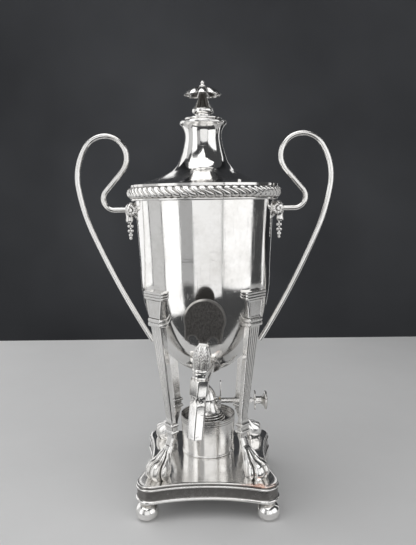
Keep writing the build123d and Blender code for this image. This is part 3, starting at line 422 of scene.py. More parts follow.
def silver_finish(name, look, rough, wave, stain, hollows=0.0, grime=(), worn_edge=False):
    """Polished silver plate: slow ripples of the hammer, fine scratches, cloudy tarnish.

    `rough` is the least and most roughness, `wave` the height of the ripples, `stain` the share
    of tarnish, `hollows` how dark the crevices are and `grime` the bands of heights where dirt has
    stayed. With `worn_edge` the right end of the front edge is worn through to copper.
    """
    f = Finish(name)
    cloud = f.noise(26.0, 5.0, 0.6)
    fine = f.noise(170.0, 4.0, 0.65)
    scratch_a = f.noise(420.0, 2.0, 0.5, (1, 1, 0.06), (0.4, 0.2, 0.0))
    scratch_b = f.noise(380.0, 2.0, 0.5, (0.07, 1, 1), (0.1, 0.5, 0.9))
    lines = f.math("MAXIMUM", f.span(scratch_a, 0.63, 0.70), f.span(scratch_b, 0.64, 0.71))
    patches = f.plus(f.times(cloud, 0.75), f.times(fine, 0.25))
    tarnish = f.span(patches, 0.46, 0.72, 0.0, stain)
    colour = f.mix(tarnish, look.silver, look.tarnish)
    roughness = f.plus(f.span(cloud, 0.3, 0.7, *rough), f.times(lines, 0.10))
    roughness = f.plus(roughness, f.times(tarnish, 0.25))
    if hollows:
        dark = f.span(f.attribute("hollow"), 0.02, 0.22, 0.0, hollows)
        dark = f.times(dark, f.span(fine, 0.25, 0.6, 0.6, 1.0), clamp=True)
        colour = f.mix(dark, colour, look.crevice)
        roughness = f.plus(roughness, f.times(dark, 0.4), clamp=True)
    height = f.axis("Z")
    for low, high in grime:
        dirt = f.times(f.band(height, low, high, GRIME_EDGE), GRIME_SHARE)
        colour = f.mix(dirt, colour, look.crevice)
    if worn_edge:
        worn = f.band(height, *COPPER_HEIGHTS, COPPER_EDGE)
        worn = f.times(worn, f.span(f.noise(60.0, 6.0, 0.7), 0.42, 0.60, 0.0, 0.7))
        worn = f.times(worn, f.span(f.axis("X"), *COPPER_RIGHT))
        worn = f.times(worn, f.span(f.axis("Y"), *COPPER_FRONT, 1.0, 0.0))
        colour = f.mix(worn, colour, look.copper)
    normal = f.bump(f.noise(16.0, 1.5, 0.4), wave, 1.0)
    normal = f.bump(f.math("SUBTRACT", fine, f.times(lines, 0.6)), 0.000012, 0.8, normal)
    f.set(Base_Color=colour, Metallic=1.0, Roughness=roughness, Normal=normal)
    return f.material


def brass_finish(look):
    """Turned brass gone brown in patches, with a fine grit."""
    f = Finish("turned_brass")
    cloud = f.noise(140.0, 5.0, 0.6)
    grit = f.noise(900.0, 3.0, 0.6)
    colour = f.mix(f.span(cloud, 0.4, 0.7), look.brass, (0.30, 0.19, 0.08))
    roughness = f.span(cloud, 0.3, 0.7, 0.22, 0.45)
    f.set(Base_Color=colour, Metallic=1.0, Roughness=roughness, Normal=f.bump(grit, 0.00003, 0.7))
    return f.material


def wood_finish(look):
    """Ebonised wood: black stain over open grain, gone grey-brown on the worn edges, with a painted
    highlight where those edges turn to the key's upper left.
    """
    f = Finish("ebonised_wood")
    grain = f.noise(640.0, 6.0, 0.7, (1.0, 1.0, 0.6), (0, 0.06, 0))
    pores = f.noise(1500.0, 3.0, 0.6, (1.0, 1.0, 0.7))
    cloud = f.noise(70.0, 4.0, 0.6)
    edge = f.span(f.attribute("hollow"), -0.55, -0.10, 1.0, 0.0)
    edge = f.times(edge, f.span(cloud, 0.35, 0.65, 0.6, 1.0), clamp=True)
    # Painted highlight: the edges take a faint share of the pale worn-wood colour as real wear, and
    # almost all of it along the key's upper-left edges, in place of a reflection
    bare_and_highlight = f.times(edge, f.span(f.attribute("painted_highlight"), 0.0, 1.0, 0.12, 0.95))
    colour = f.mix(f.span(grain, 0.35, 0.7), look.wood, (0.012, 0.010, 0.009))
    colour = f.mix(f.span(pores, 0.6, 0.72, 0.0, 0.55), colour, (0.19, 0.175, 0.16))
    colour = f.mix(bare_and_highlight, colour, look.worn_wood_and_highlight)
    rubbing = f.plus(f.times(grain, 0.6), f.times(cloud, 0.4))
    roughness = f.span(rubbing, 0.35, 0.65, 0.34, 0.60)
    roughness = f.math("SUBTRACT", roughness, f.times(edge, 0.22), clamp=True)
    height = f.plus(grain, f.times(pores, 0.5))
    f.set(Base_Color=colour, Roughness=roughness, Normal=f.bump(height, 0.00022, 0.9))
    f.shader.inputs["Specular IOR Level"].default_value = 0.45
    return f.material


def wick_finish(look):
    """Flat woven cotton, charred at its top: fine crossing ribs and a dark band by height."""
    f = Finish("charred_cotton")
    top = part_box("wick")[1].z
    char_depth = 0.006
    weave = []
    for axis in ("X", "Z"):
        inputs = {"Vector": f.place, "Scale": 420.0, "Distortion": 0.6}
        wave = f.node("ShaderNodeTexWave", inputs, bands_direction=axis, wave_profile="SIN")
        weave.append(wave.outputs["Fac"])
    woven = f.times(*weave)
    fuzz = f.noise(900.0, 4.0, 0.7)
    char = f.span(f.plus(f.axis("Z"), f.times(fuzz, 0.002)), top - char_depth, top)
    colour = f.mix(woven, (0.46, 0.41, 0.32), look.cotton)
    colour = f.mix(char, colour, (0.015, 0.012, 0.01))
    f.set(Base_Color=colour, Roughness=0.9, Normal=f.bump(f.plus(woven, fuzz), 0.0002, 0.8))
    return f.material


def floor_finish(colour):
    """Matt pale paper with a faint mottle."""
    f = Finish("pale_floor")
    mottle = f.noise(9.0, 4.0, 0.6)
    shade = f.mix(f.span(mottle, 0.3, 0.7), colour, tuple(0.97 * c for c in colour))
    f.set(Base_Color=shade, Roughness=0.7, Normal=f.bump(f.noise(300.0, 3.0), 0.0002, 0.2))
    return f.material


def backdrop_finish():
    """Matt charcoal cloth with a soft mottle."""
    f = Finish("charcoal_cloth")
    shade = f.mix(f.span(f.noise(2.2, 3.0), 0.3, 0.7), (0.045, 0.047, 0.052), (0.075, 0.078, 0.085))
    f.set(Base_Color=shade, Roughness=0.95)
    return f.material


# Settings that a user would change


def colour_setting(name, description, default):
    """Setting that holds a colour."""
    return FloatVectorProperty(
        name=name, description=description, subtype="COLOR", default=default, min=0.0, max=1.0
    )


def depth_setting(name, description, default, most):
    """Setting that holds a depth in metres."""
    return FloatProperty(
        name=name, description=description, unit="LENGTH", default=default, min=0.0, max=most
    )


class UrnLook(bpy.types.PropertyGroup):
    """Colours of the finishes."""

    silver: colour_setting("Silver", "Colour of the bright plate", (0.90, 0.89, 0.875))
    tarnish: colour_setting("Tarnish", "Colour of the clouded plate", (0.55, 0.52, 0.47))
    crevice: colour_setting(
        "Crevice", "Colour of old polish and sulphide in the hollows", (0.045, 0.038, 0.032)
    )
    copper: colour_setting("Copper", "Colour of the metal under worn plate", (0.62, 0.30, 0.19))
    brass: colour_setting("Brass", "Colour of the nuts and screws", (0.72, 0.55, 0.28))
    wood: colour_setting("Wood", "Colour of the stained key", (0.066, 0.062, 0.058))
    # Pale edge colour: partly worn wood, partly a painted highlight on the key's upper-left edges
    worn_wood_and_highlight: colour_setting("Worn wood", "Colour of the key's rubbed edges", (0.74, 0.71, 0.67))
    cotton: colour_setting("Cotton", "Colour of the clean wick", (0.74, 0.68, 0.55))


class UrnShape(bpy.types.PropertyGroup):
    """Counts and depths of the ornament."""

    strands: IntProperty(
        name="Strands", description="Strands round the rope rim", default=60, min=12, max=120
    )
    strand_lean: FloatProperty(
        name="Strand lean", description="Shift of a strand from foot to top, in strand widths",
        default=0.92, min=0.0, max=2.0,
    )
    strand_depth: depth_setting(
        "Strand depth", "Depth of the gaps between the strands", 0.0026, 0.004
    )
    petals: IntProperty(
        name="Petals", description="Petals of the parasol", default=8, min=5, max=24
    )
    flute_depth: depth_setting(
        "Flute depth", "Depth of the grooves between the reeds of the legs", 0.00035, 0.003
    )
    toe_depth: depth_setting("Toe depth", "Depth of the grooves between the toes", 0.0020, 0.004)
    leaf_depth: depth_setting(
        "Leaf depth", "Height of the leaves on the bulb of the key", 0.0008, 0.002
    )


class UrnStage(bpy.types.PropertyGroup):
    """Camera, lights and floor."""

    lens: FloatProperty(
        name="Lens", description="Focal length of the camera", default=36.73, min=10, unit="CAMERA"
    )
    floor: colour_setting("Floor", "Colour of the floor", (0.74, 0.74, 0.74))
    room: FloatProperty(
        name="Room", description="Brightness of the room round the stage", default=0.06, min=0.0
    )


FINISHES = {}


def finish(name):
    """A finish that the first operator has made."""
    if name not in FINISHES:
        raise RuntimeError(f"finish {name} isn't made yet: run the finishes first")
    return FINISHES[name]


class URN_OT_finishes(bpy.types.Operator):
    """Make the finishes and put them on the solids that stay"""

    bl_idname = "urn.finishes"
    bl_label = "Finishes"

    def execute(self, context):
        look = context.scene.urn_look
        FINISHES.update({
            "body": silver_finish("spun_silver", look, (0.05, 0.13), 0.00035, 0.35),
            "plain": silver_finish("plain_silver", look, (0.07, 0.17), 0.00012, 0.45),
            "cast": silver_finish("cast_silver", look, (0.10, 0.24), 0.0001, 0.5, 0.95),
            "reeded": silver_finish("reeded_silver", look, (0.10, 0.22), 0.0001, 0.4, 0.45),
            "plate": silver_finish(
                "worn_plate", look, (0.06, 0.16), 0.00025, 0.4, 0.5, PLINTH_GRIME, worn_edge=True
            ),
            "lamp": silver_finish(
                "dull_silver", look, (0.13, 0.28), 0.0002, 0.7, grime=LAMP_GRIME
            ),
            "brass": brass_finish(look),
            "wood": wood_finish(look),
            "wick": wick_finish(look),
        })
        special = {
            "urn_body": "body", "lid_cover": "body", "wick": "wick",
            "key_pin": "wood", "winder_shaft": "lamp",
        }
        by_slot = {"brass": "brass", "ebonised_wood": "wood"}
        dull = ("lamp_", "burner_", "winder_", "snuffer_")
        slots = {p["node"]: p["material_slot"] for p in frame["record"]["subparts"]}
        for name, obj in frame["nodes"].items():
            kind = by_slot.get(slots.get(name), "lamp" if name.startswith(dull) else "plain")
            kind = special.get(name, kind)
            if not obj.material_slots:
                raise RuntimeError(f"solid {name} has no material slot")
            for slot in obj.material_slots:
                slot.link = "OBJECT"
                slot.material = finish(kind)
        return {"FINISHED"}


# Rope rim: radius of the core and of the bore, and points across each strand
ROPE_CORE_R = 75.6
ROPE_BORE_R = 72.6
STRAND_POINTS = 16


def rope_shell(count, lean, depth):
    """Rope rim. Round a core the outside is drawn by an angle, and a strand's half circle across
    its width says how far the outside sinks towards the core. Every strand shifts along the ring
    as it climbs, more in the middle than at its ends, so the grid is sheared with the strands.
    """
    low, high = node_box("gadroon_rim")
    middle = (low[2] + high[2]) / 2
    half_h = (high[2] - low[2]) / 2
    reach = high[0] - ROPE_CORE_R
    across = (1 - np.cos(np.pi * np.arange(STRAND_POINTS) / STRAND_POINTS)) / 2
    turn = (np.arange(count)[:, None] + across[None, :]).reshape(-1) / count * 2 * np.pi
    strand = np.tile(bump_at(across, 0.5, 0.5), count)
    angle = np.linspace(-np.pi / 2, np.pi / 2, 37)
    out = np.cos(angle) ** 0.62
    up = np.sin(angle)
    sway = lean * 0.5 * (up + 0.30 * np.sin(np.pi * up)) * 2 * np.pi / count
    sink = 1 - (depth / MM) / reach * (1 - strand[:, None]) * (0.45 + 0.75 * out)
    theta = turn[:, None] - sway
    skin = polar(
        ROPE_CORE_R + reach * out * sink, theta, middle + half_h * up * (0.35 + 0.65 * sink)
    )
    bore = polar(ROPE_BORE_R, theta[:, [-1, 0]], np.array([high[2] - 1.2, low[2] + 1.2]))
    points = np.concatenate([skin, bore], 1)
    return points, grid_quads(*points.shape[:2], True, True)


class URN_OT_rope_rim(bpy.types.Operator):
    """Make the rope rim of slanted half-round strands"""

    bl_idname = "urn.rope_rim"
    bl_label = "Rope rim"

    def execute(self, context):
        shape = context.scene.urn_shape
        shell = rope_shell(shape.strands, shape.strand_lean, shape.strand_depth)
        make_piece("rope_rim", [shell], "cast", ["gadroon_rim"], 1.6, 2)
        return {"FINISHED"}


def parasol_shell(petals):
    """Parasol. Along each ray the top falls from the tip by a power of the distance to the edge;
    the edge itself runs out to the middle of a petal and in between two petals, where a groove
    also sinks. The underside is the same sheet a sheet's thickness lower.
    """
    low, high = node_box("finial_parasol")
    middle = (low + high) / 2
    edge_r = (high[0] - low[0]) / 2
    drop = high[2] - low[2]
    rays = 24 * petals
    turn = np.arange(rays) / rays * 2 * np.pi - np.pi / 2
    petal = np.abs(np.cos((turn + np.pi / 2) * petals / 2)) ** 0.55
    share = np.linspace(0.0, 1.0, 40) ** 0.9
    s, p = np.meshgrid(share, petal, indexing="ij")
    out = edge_r * (0.83 + 0.17 * p)
    tip_r = 1.6
    r = tip_r + (out - tip_r) * s
    fall = (drop - 1.1) * (0.72 * s**1.9 + 0.28 * s**5)
    groove = 1.5 * (1 - p) * smooth_step(s, 0.12, 0.75)
    crown = 0.9 * p * np.sin(np.pi * s) ** 1.5
    z = np.minimum(high[2] - fall - groove + crown - 0.45, high[2])
    thick = 0.9 + 0.5 * smooth_step(s, 0.8, 0.97) - 0.7 * smooth_step(s, 0.96, 1.0)
    upper = polar(r, turn, z - 0.1 * smooth_step(s, 0.9, 1.0))
    lower = polar(r, turn, np.maximum(z - thick, low[2]))
    return lofted(np.concatenate([upper, lower[::-1]]) + np.array([*middle[:2], 0]))


class URN_OT_parasol(bpy.types.Operator):
    """Make the fluted parasol of the finial"""

    bl_idname = "urn.parasol"
    bl_label = "Parasol"

    def execute(self, context):
        shell = parasol_shell(context.scene.urn_shape.petals)
        make_piece("parasol", [shell], "cast", ["finial_parasol"], 2.0, 3, body="lid")
        return {"FINISHED"}


# Rounded forms of the ram's head: middle, radii, how widely each is rounded into the rest, and
# whether it is cut out; first nose, chin and cheeks, then eye sockets, eyes, nostrils and mouth
HEAD_FORMS = (
    ((82.6, 0, 308.2), (3.1, 2.9, 2.5), 1.6, False),
    ((80.6, 0, 309.8), (2.6, 2.4, 3.2), 1.6, False),
    ((80.6, 3.2, 318.0), (2.4, 1.9, 3.2), 1.4, False),
)
FACE_FORMS = (
    ((84.3, 3.3, 317.4), (1.5, 1.4, 1.2), 0.6, True),
    ((83.7, 3.1, 317.4), (0.95, 0.95, 0.8), 0.2, False),
    ((84.9, 1.2, 307.9), (0.8, 0.55, 0.6), 0.4, True),
    ((83.6, 0, 306.9), (2.6, 3.4, 0.35), 0.3, True),
)


def with_forms(place, form, table):
    """Distance to a form after the rounded forms of a table are joined to it or cut out."""
    for middle, radii, width, is_cut in table:
        other = ball(place, middle, radii)
        form = -blend_min(-form, other, width) if is_cut else blend_min(form, other, width)
    return form


def mask_field(x, y, z):
    """Ram's head in side view: forehead, muzzle and chin joined by rounding, eyes under a brow,
    and a ridged horn that curls forward on each side; the wall pad lies behind.
    """
    place = (x, np.abs(y), z)
    form = ball(place, (79.6, 0, 321.6), (6.4, 5.6, 6.6))
    form = blend_min(form, rod(place, (81.0, 0, 319.0), (82.4, 0, 309.6), 4.6, 3.0), 3.0)
    form = with_forms(place, form, HEAD_FORMS)
    form = blend_min(form, rod(place, (84.6, 1.6, 319.6), (82.2, 4.6, 318.8), 1.0, 0.8), 0.9)
    form = with_forms(place, form, FACE_FORMS)
    steps = np.linspace(0.0, 1.0, 34)
    bend = 1.9 + steps * 5.3
    wide = 5.0 - 2.2 * steps
    curl = xyz(79.4 + wide * np.cos(bend), 4.6 + 3.4 * steps, 319.4 + wide * np.sin(bend))
    thick = 2.15 - 1.25 * steps + 0.16 * np.cos(steps * 60.0)
    horn = np.full_like(x, 9.0)
    for i in range(len(steps) - 1):
        horn = np.minimum(horn, rod(place, curl[i], curl[i + 1], thick[i], thick[i + 1]))
    form = blend_min(form, horn, 0.5)
    return blend_min(form, ball(place, (72.2, 0, 319.6), (6.6, 6.4, 9.4)), 1.5)


def pendant_field(x, y, z):
    """Pendant under the muzzle: a wire, two rows of paired beads, a ring and a drop."""
    place = (x, y, z)
    form = rod(place, (81, 0, 307), (81, 0, 290.5), 0.75, 0.75)
    for row in (302.5, 297.4):
        for side in (-1.55, 1.55):
            form = blend_min(form, ball(place, (81 + side, 0, row), (1.72, 1.72, 1.8)), 0.3)
    form = blend_min(form, ball(place, (81, 0, 299.9), (0.9, 0.9, 0.7)), 0.3)
    ring = np.sqrt((np.sqrt((x - 81) ** 2 + (z - 292.8) ** 2) - 1.45) ** 2 + y**2) - 0.72
    form = np.minimum(form, ring)
    return blend_min(form, ball(place, (81, 0, 289.4), (1.7, 1.7, 1.8)), 0.3)


class URN_OT_masks(bpy.types.Operator):
    """Make the ram's masks under the handles and their pendants"""

    bl_idname = "urn.masks"
    bl_label = "Ram's masks"

    def execute(self, context):
        points, quads = cast(mask_field, (68, -11, 303), (90, 11, 331), 0.3)
        wall_sink = 0.5
        wall = vessel_radius(points[:, 2]) - wall_sink
        points[:, :2] *= np.maximum(wall / np.hypot(points[:, 0], points[:, 1]), 1)[:, None]
        beads = cast(pendant_field, (76.5, -3, 286.5), (85.5, 3, 308.5), 0.2)
        make_sets(
            SIDES,
            ("ram_head", (points, quads), "cast", "ram_mask", 1.4, 3, 180),
            ("beads", beads, "cast", "mask_pendant", 0.9, 2, 180),
        )
        return {"FINISHED"}


# Heights of the leg's ends, its collar and its knee, and of the capital's bands, and the radius of
# their beads
LEG_REEDS = 5
LEG_Z = (78.0, 201.5)
COLLAR_Z = (82.0, 94.0)
KNEE_Z = 100.0
CAPITAL_Z = (201.5, 210.0, 229.5, 238.0)
BEAD_R = 2.1


def two_beads(heights, low, high):
    """Two half-round beads, one above a low height and one below a high one."""
    beads = bump_at(heights, low + BEAD_R, BEAD_R) + bump_at(heights, high - BEAD_R, BEAD_R)
    return np.clip(beads, 0, 1)


def block_shell(heights, front, half, side_x, rear_x, rear_y):
    """Block along +X from its front and rear lines across and the line of one side, per height."""
    across = np.linspace(-1, 1, front.shape[1])
    side_y = np.broadcast_to(half, side_x.shape)
    rear_x = np.broadcast_to(rear_x, rear_y.shape)
    xs = np.concatenate([front, side_x, rear_x, side_x[:, ::-1]], 1)
    ys = np.concatenate([across * half, side_y, rear_y, -side_y], 1)
    return lofted(xyz(xs, ys, heights))


def leg_shell(depth):
    """Leg along +X. Each height has a rounded rectangle whose front carries round reeds, parted by
    narrow grooves; the width and depth fall evenly to the knee, and a collar swells in two beads.
    """
    low, high = LEG_Z
    foot, top = COLLAR_Z
    heights = np.concatenate([
        np.linspace(low, foot, 4, endpoint=False), np.linspace(foot, top, 33),
        np.linspace(top + 0.4, 104.0, 16), np.linspace(106.0, high, 44),
    ])[:, None]
    share = np.clip((heights - KNEE_Z) / (high - KNEE_Z), 0, 1)
    wide = 9.6 + share * (16.2 - 9.6)
    thick = 5.4 + share * (7.0 - 5.4)
    below = 56.2 + 1.4 * (heights - low) / (KNEE_Z - low)
    front = np.where(heights < KNEE_Z, below, 57.6 + share * (72.0 - 57.6))
    swell = 0.5 * window(heights, foot, foot + 1, top - 1, top)
    swell = swell + 1.5 * two_beads(heights, foot, top)
    across = np.linspace(-1, 1, 85)[None, :]
    lane = (across + 1) / 2 * LEG_REEDS % 1 - 0.5
    flute = (depth / MM) * (1 - np.cos(np.pi * lane) ** 0.6)
    flute = flute * window(heights, 95.0, 99.0, high - 2.0, high - 0.4)
    back = front - thick - swell
    side_x = (front + swell - 1) + (back - front - swell + 1) * np.linspace(0, 1, 8)[None, 1:]
    half = wide / 2 + swell
    rear_y = np.linspace(1, -1, 9)[None, 1:-1] * half
    front = front + swell - edge_drop(across, wide, 1.0) - flute
    return block_shell(heights, front, half, side_x, back, rear_y)


def capital_shell():
    """Capital along +X: at each height a rounded rectangle set against the vessel. The lower band
    has two fine lines, the block spreads upward in a slight hollow with a panel barely sunk in
    its front, and the top band is three stepped beads.
    """
    z0, z1, z2, z3 = CAPITAL_Z
    heights = np.concatenate([
        np.linspace(z0, z1, 25), np.linspace(z1 + 0.05, z2, 40), np.linspace(z2 + 0.05, z3, 37),
    ])[:, None]
    low_band = (heights <= z1).astype(float)
    top_band = (heights > z2).astype(float)
    block = 1 - low_band - top_band
    climb = np.clip((heights - z1) / (z2 - z1), 0, 1)
    rise = (heights - z2) / (z3 - z2)
    lines = two_beads(heights, z0, z1)
    steps = np.clip(sum(bump_at(heights, z2 + 1.42 + 2.83 * i, 1.42) for i in range(3)), 0, 1)
    wide = low_band * (18.4 + 1.0 * lines)
    wide += block * (17.8 + 7.2 * (0.75 * climb + 0.25 * climb**3))
    wide += top_band * (27.0 + 1.4 * steps + 1.2 * rise)
    front = low_band * (73.4 + 0.8 * lines) + block * (73.2 + 0.4 * climb)
    front += top_band * (74.0 + 0.7 * steps + 0.6 * rise)
    across = np.linspace(-1, 1, 57)[None, :]
    panel = window(heights, z1 + 1.6, z1 + 2.4, z2 - 2.4, z2 - 1.6)
    panel = panel * (1 - smooth_step(np.abs(across), 0.74, 0.80)) * block
    half = wide / 2
    wall = vessel_radius(heights) - 0.6
    back = np.minimum(np.sqrt(np.clip(wall**2 - half**2, 0, None)), front - 6.0)
    side_x = (front - 0.9) + (back - front + 0.9) * np.linspace(0, 1, 7)[None, 1:]
    rear_y = np.linspace(1, -1, 15)[None, 1:-1] * half
    rear_x = np.minimum(np.sqrt(wall**2 - rear_y**2), front - 4.0)
    front = front - edge_drop(across, wide, 0.9) - 0.12 * panel
    return block_shell(heights, front, half, side_x, rear_x, rear_y)


# Plinth: radius and place of the corner lobes, reach of the incurved sides, and sheet
LOBE_R = 15.0
LOBE_PLACE = 58.6
SIDE_MIDDLE = 65.0
SHEET = 1.5
# How far from the middle, along the diagonal, the corner gussets begin
GUSSET_START = 77.5


def plinth_outline():
    """Outline of the plinth and its outward normals. Each corner is a round lobe, and the incurved
    side between two lobes is a circle that touches both from outside.
    """
    shift = SIDE_MIDDLE - LOBE_PLACE
    side_r = (shift**2 + LOBE_PLACE**2 - LOBE_R**2) / (2 * (LOBE_R - shift))
    centre = SIDE_MIDDLE + side_r
    half = math.atan2(LOBE_PLACE, centre - LOBE_PLACE)
    turn = np.linspace(-half, half, 44, endpoint=False)
    side = xyz(centre - side_r * np.cos(turn), side_r * np.sin(turn), 0.0)
    side_out = xyz(np.cos(turn), -np.sin(turn), 0.0)
    lobe_out = polar(1.0, np.linspace(-half, math.pi / 2 + half, 28, endpoint=False), 0.0)
    lobe = LOBE_R * lobe_out + np.array([LOBE_PLACE, LOBE_PLACE, 0])
    quarters = (np.concatenate([side, lobe]), np.concatenate([side_out, lobe_out]))
    return [np.concatenate([turned(part, 90.0 * i) for i in range(4)]) for part in quarters]


def half_bead(middle, radius):
    """Half circle that swells outward, from its top to its foot: distances out and heights."""
    angle = np.linspace(np.pi / 2, -np.pi / 2, 11)
    return np.stack([radius * np.cos(angle), middle + radius * np.sin(angle)], -1)


def skirt_shell(low, high):
    """Plinth in one sheet. Rings of the outline, drawn in to the middle, make the plate; then the
    outline is moved out and down along the skirt's section, past both beads, and back up inside.
    """
    points, outward = plinth_outline()
    section = np.concatenate([
        [[-1.0, high], [-0.4, high - 0.15], [0.0, high - 0.8]],
        half_bead(high - 4.2, 1.1), half_bead(low + 1.9, 1.9),
        [[-0.3, low], [-SHEET, low + 0.1], [-SHEET, high - SHEET]],
    ])
    rings = [raised(points * share, high) for share in (0.0, 0.25, 0.5, 0.75, 0.94)]
    rings += [raised(points + outward * run, z) for run, z in section]
    rings += [raised(points * share, high - SHEET) for share in (0.92, 0.6, 0.3, 0.0)]
    rings = np.array(rings)
    return rings, grid_quads(len(rings), len(points), close_columns=True)


def gusset_shell(low, high):
    """Level plate across a corner: the part of the plinth's inside that lies beyond a line square
    to the diagonal.
    """
    points, outward = plinth_outline()
    inner = points - outward * (SHEET + 0.1)
    arc = inner[(inner[:, 0] + inner[:, 1]) / math.sqrt(2) > GUSSET_START]
    arc = arc[np.argsort(np.arctan2(arc[:, 1], arc[:, 0]))]
    outline = np.concatenate([arc, np.linspace(arc[-1], arc[0], 12)[1:-1]])
    return lofted(np.stack([raised(outline, low), raised(outline, high)]))


class URN_OT_plinth(bpy.types.Operator):
    """Make the incurved plinth with its two beads, and the gussets in its corners"""

    bl_idname = "urn.plinth"
    bl_label = "Plinth"

    def execute(self, context):
        low, high = node_box("base_plate")
        make_piece(
            "lobed_plinth", [skirt_shell(low[2], high[2])], "plate",
            ["base_plate", "base_upper_bead", "base_lower_bead"], 1.6, 2, 50,
        )
        low, high = node_box("corner_gussets")
        points, quads = gusset_shell(low[2], high[2])
        shells = [(turned(points, 90.0 * i), quads) for i in range(4)]
        make_piece("corner_webs", shells, "plain", ["corner_gussets"], 1.0, 1, 40)
        return {"FINISHED"}


class URN_OT_legs(bpy.types.Operator):
    """Make the four fluted legs and the capitals that carry the vessel"""

    bl_idname = "urn.legs"
    bl_label = "Legs and capitals"

    def execute(self, context):
        leg = leg_shell(context.scene.urn_shape.flute_depth)
        make_sets(
            CORNERS,
            ("fluted_leg", leg, "reeded", "leg", 1.0, 2, 50),
            ("block_capital", capital_shell(), "cast", "capital", 1.0, 2, 50),
        )
        return {"FINISHED"}


# Paws: the ankle's top above the plate, where along +X the toes fan out from, and their spacing
ANKLE_TOP = 38.6
FAN_X = 57.0
FAN_STEP = 24.0


def paw_field(depth):
    """Paw along +X: an ankle whose rounded section moves out and widens on its way down, joined by
    rounding to a squashed ball. Rays that fan from the ankle sink three grooves and swell four
    toes between them, and the floor plate cuts the ball flat.
    """
    rises = np.array([-1.0, 0.0, 12.6, 22.6, 30.6, ANKLE_TOP])
    middles = np.array([72.0, 72.0, 69.5, 62.4, 56.6, 53.5])
    depths = np.array([16.0, 16.0, 16.0, 10.6, 6.4, 5.4]) / 2
    widths = np.array([17.0, 17.0, 18.0, 13.0, 10.0, 9.6]) / 2

    def field(x, y, z):
        half = np.interp(z, rises, depths)
        across = (x - np.interp(z, rises, middles)) / half
        beside = y / np.interp(z, rises, widths)
        ankle = np.maximum(((across**4 + beside**4) ** 0.25 - 1) * half, z - ANKLE_TOP)
        fan = np.degrees(np.arctan2(y, np.maximum(x - FAN_X, 0.5))) / FAN_STEP
        away = np.abs(fan - np.clip(np.round(fan), -1, 1)) * math.radians(FAN_STEP)
        away = away * np.maximum(x - FAN_X, 3)
        reach = smooth_step(x, 60.0, 66.0) * (1 - smooth_step(z, 23.0, 31.0))
        groove = (depth / MM) * np.exp(-((away / 1.25) ** 2)) * reach
        crown = np.abs(np.sin(np.pi * np.clip(fan, -2, 2))) * reach
        knuckle = 0.5 * np.exp(-(((z - 15.5) / 3.0) ** 2)) * reach
        foot = ball((x, y, z), (73.9, 0, 7.8), (12.9, 13.2, 10.8)) + 0.4
        joined = blend_min(ankle, foot, 5.0)
        return np.maximum(joined + groove - crown - knuckle, -z)

    return field


class URN_OT_paws(bpy.types.Operator):
    """Make the four paws"""

    bl_idname = "urn.paws"
    bl_label = "Paws"

    def execute(self, context):
        field = paw_field(context.scene.urn_shape.toe_depth)
        points, quads = cast(field, (46, -16, -1.2), (90, 16, 40), 0.4)
        points[:, 2] += PLATE_Z
        make_sets(CORNERS, ("lion_paw", (points, quads), "cast", "paw", 2.0, 5, 70))
        return {"FINISHED"}


# Bulb of the key: its two ends along the key's axis, and its radius at shares of the way up
BULB_Z = (17.9, 39.6)
BULB_SHARES = (0, 0.15, 0.3, 0.5, 0.7, 0.85, 1)
BULB_R = (7.25, 7.6, 7.72, 7.45, 6.7, 5.8, 4.62)
# Rows of leaves: how many, how far they are turned in leaves, first and last share, and height
LEAF_ROWS = ((8, 0.0, 0.02, 0.62, 1.0), (8, 0.5, 0.34, 0.98, 0.8))


def leaf_shell(height):
    """Leaves on the bulb of the key. The bulb's own curve is the floor; two rows of pointed leaves
    stand on it, each a rounded tongue with a raised rib and a beaded skin.
    """
    share = np.linspace(0, 1, 150)[:, None]
    around = np.linspace(0, 2 * np.pi, 320, endpoint=False)[None, :]
    rise = np.zeros((share.size, around.size))
    for count, phase, start, end, lift in LEAF_ROWS:
        along = (share - start) / (end - start)
        lane = (around * count / (2 * np.pi) + phase) % 1 - 0.5
        inside = np.clip(along, 0, 1)
        half = 0.47 * np.sqrt(np.clip(1 - inside**3.2, 0, 1))
        body = np.clip(1 - np.abs(lane) / np.maximum(half, 1e-3), 0, 1)
        body = np.where((along >= 0) & (along <= 1), body, 0)
        tongue = smooth_step(body, 0.0, 0.35) * (0.55 + 0.45 * inside)
        rib = 0.30 * np.exp(-((lane / 0.05) ** 2)) * (body > 0)
        veins = 0.10 * np.sin(30 * along + 22 * np.abs(lane)) * smooth_step(body, 0.1, 0.5)
        rise = np.maximum(rise, lift * (tongue + rib + veins) * (body > 0))
    pebble = 0.12 * np.sin(around * 44) * np.sin(share * 70)
    rise = rise + pebble * (rise < 0.15)
    rise = rise * window(share, 0.0, 0.06, 0.92, 1.0)
    r = np.interp(share, BULB_SHARES, BULB_R) + 0.06 + (height / MM) * rise
    return lofted(in_tap_frame(polar(r, around, BULB_Z[0] + (BULB_Z[1] - BULB_Z[0]) * share)))


# Key: its middle along the key's axis, its thickness and the rounding of its edges
KEY_RISE = 64.2
KEY_THICK = 6.0
KEY_ROUNDING = 1.5


def key_outline(u, w):
    """Signed distance, in millimetres, to the outline of the key in its own plane: a disc joined
    through two flanks to a foot, less a round notch at each side of the boss.
    """
    u = np.abs(u)
    disc = np.hypot(u, w) - 19.8
    slope = np.interp(-w, [-6.0, 4.0, 7.4, 19.0], [19.0, 19.2, 18.4, 17.4])
    skirt = np.maximum(np.maximum(u - slope, -w - 19.0), w)
    skirt = np.maximum(skirt, 4.2 - u)
    hook = np.hypot(u - 15.2, w + 19.0) - 2.2
    notch = np.hypot(u - 9.9, w + 19.4) - 3.9
    shape = np.maximum(np.minimum(np.minimum(disc, skirt), hook), -notch)
    boss = np.maximum(u - 4.2, np.maximum(-w - 22.2, w))
    return np.minimum(shape, boss)


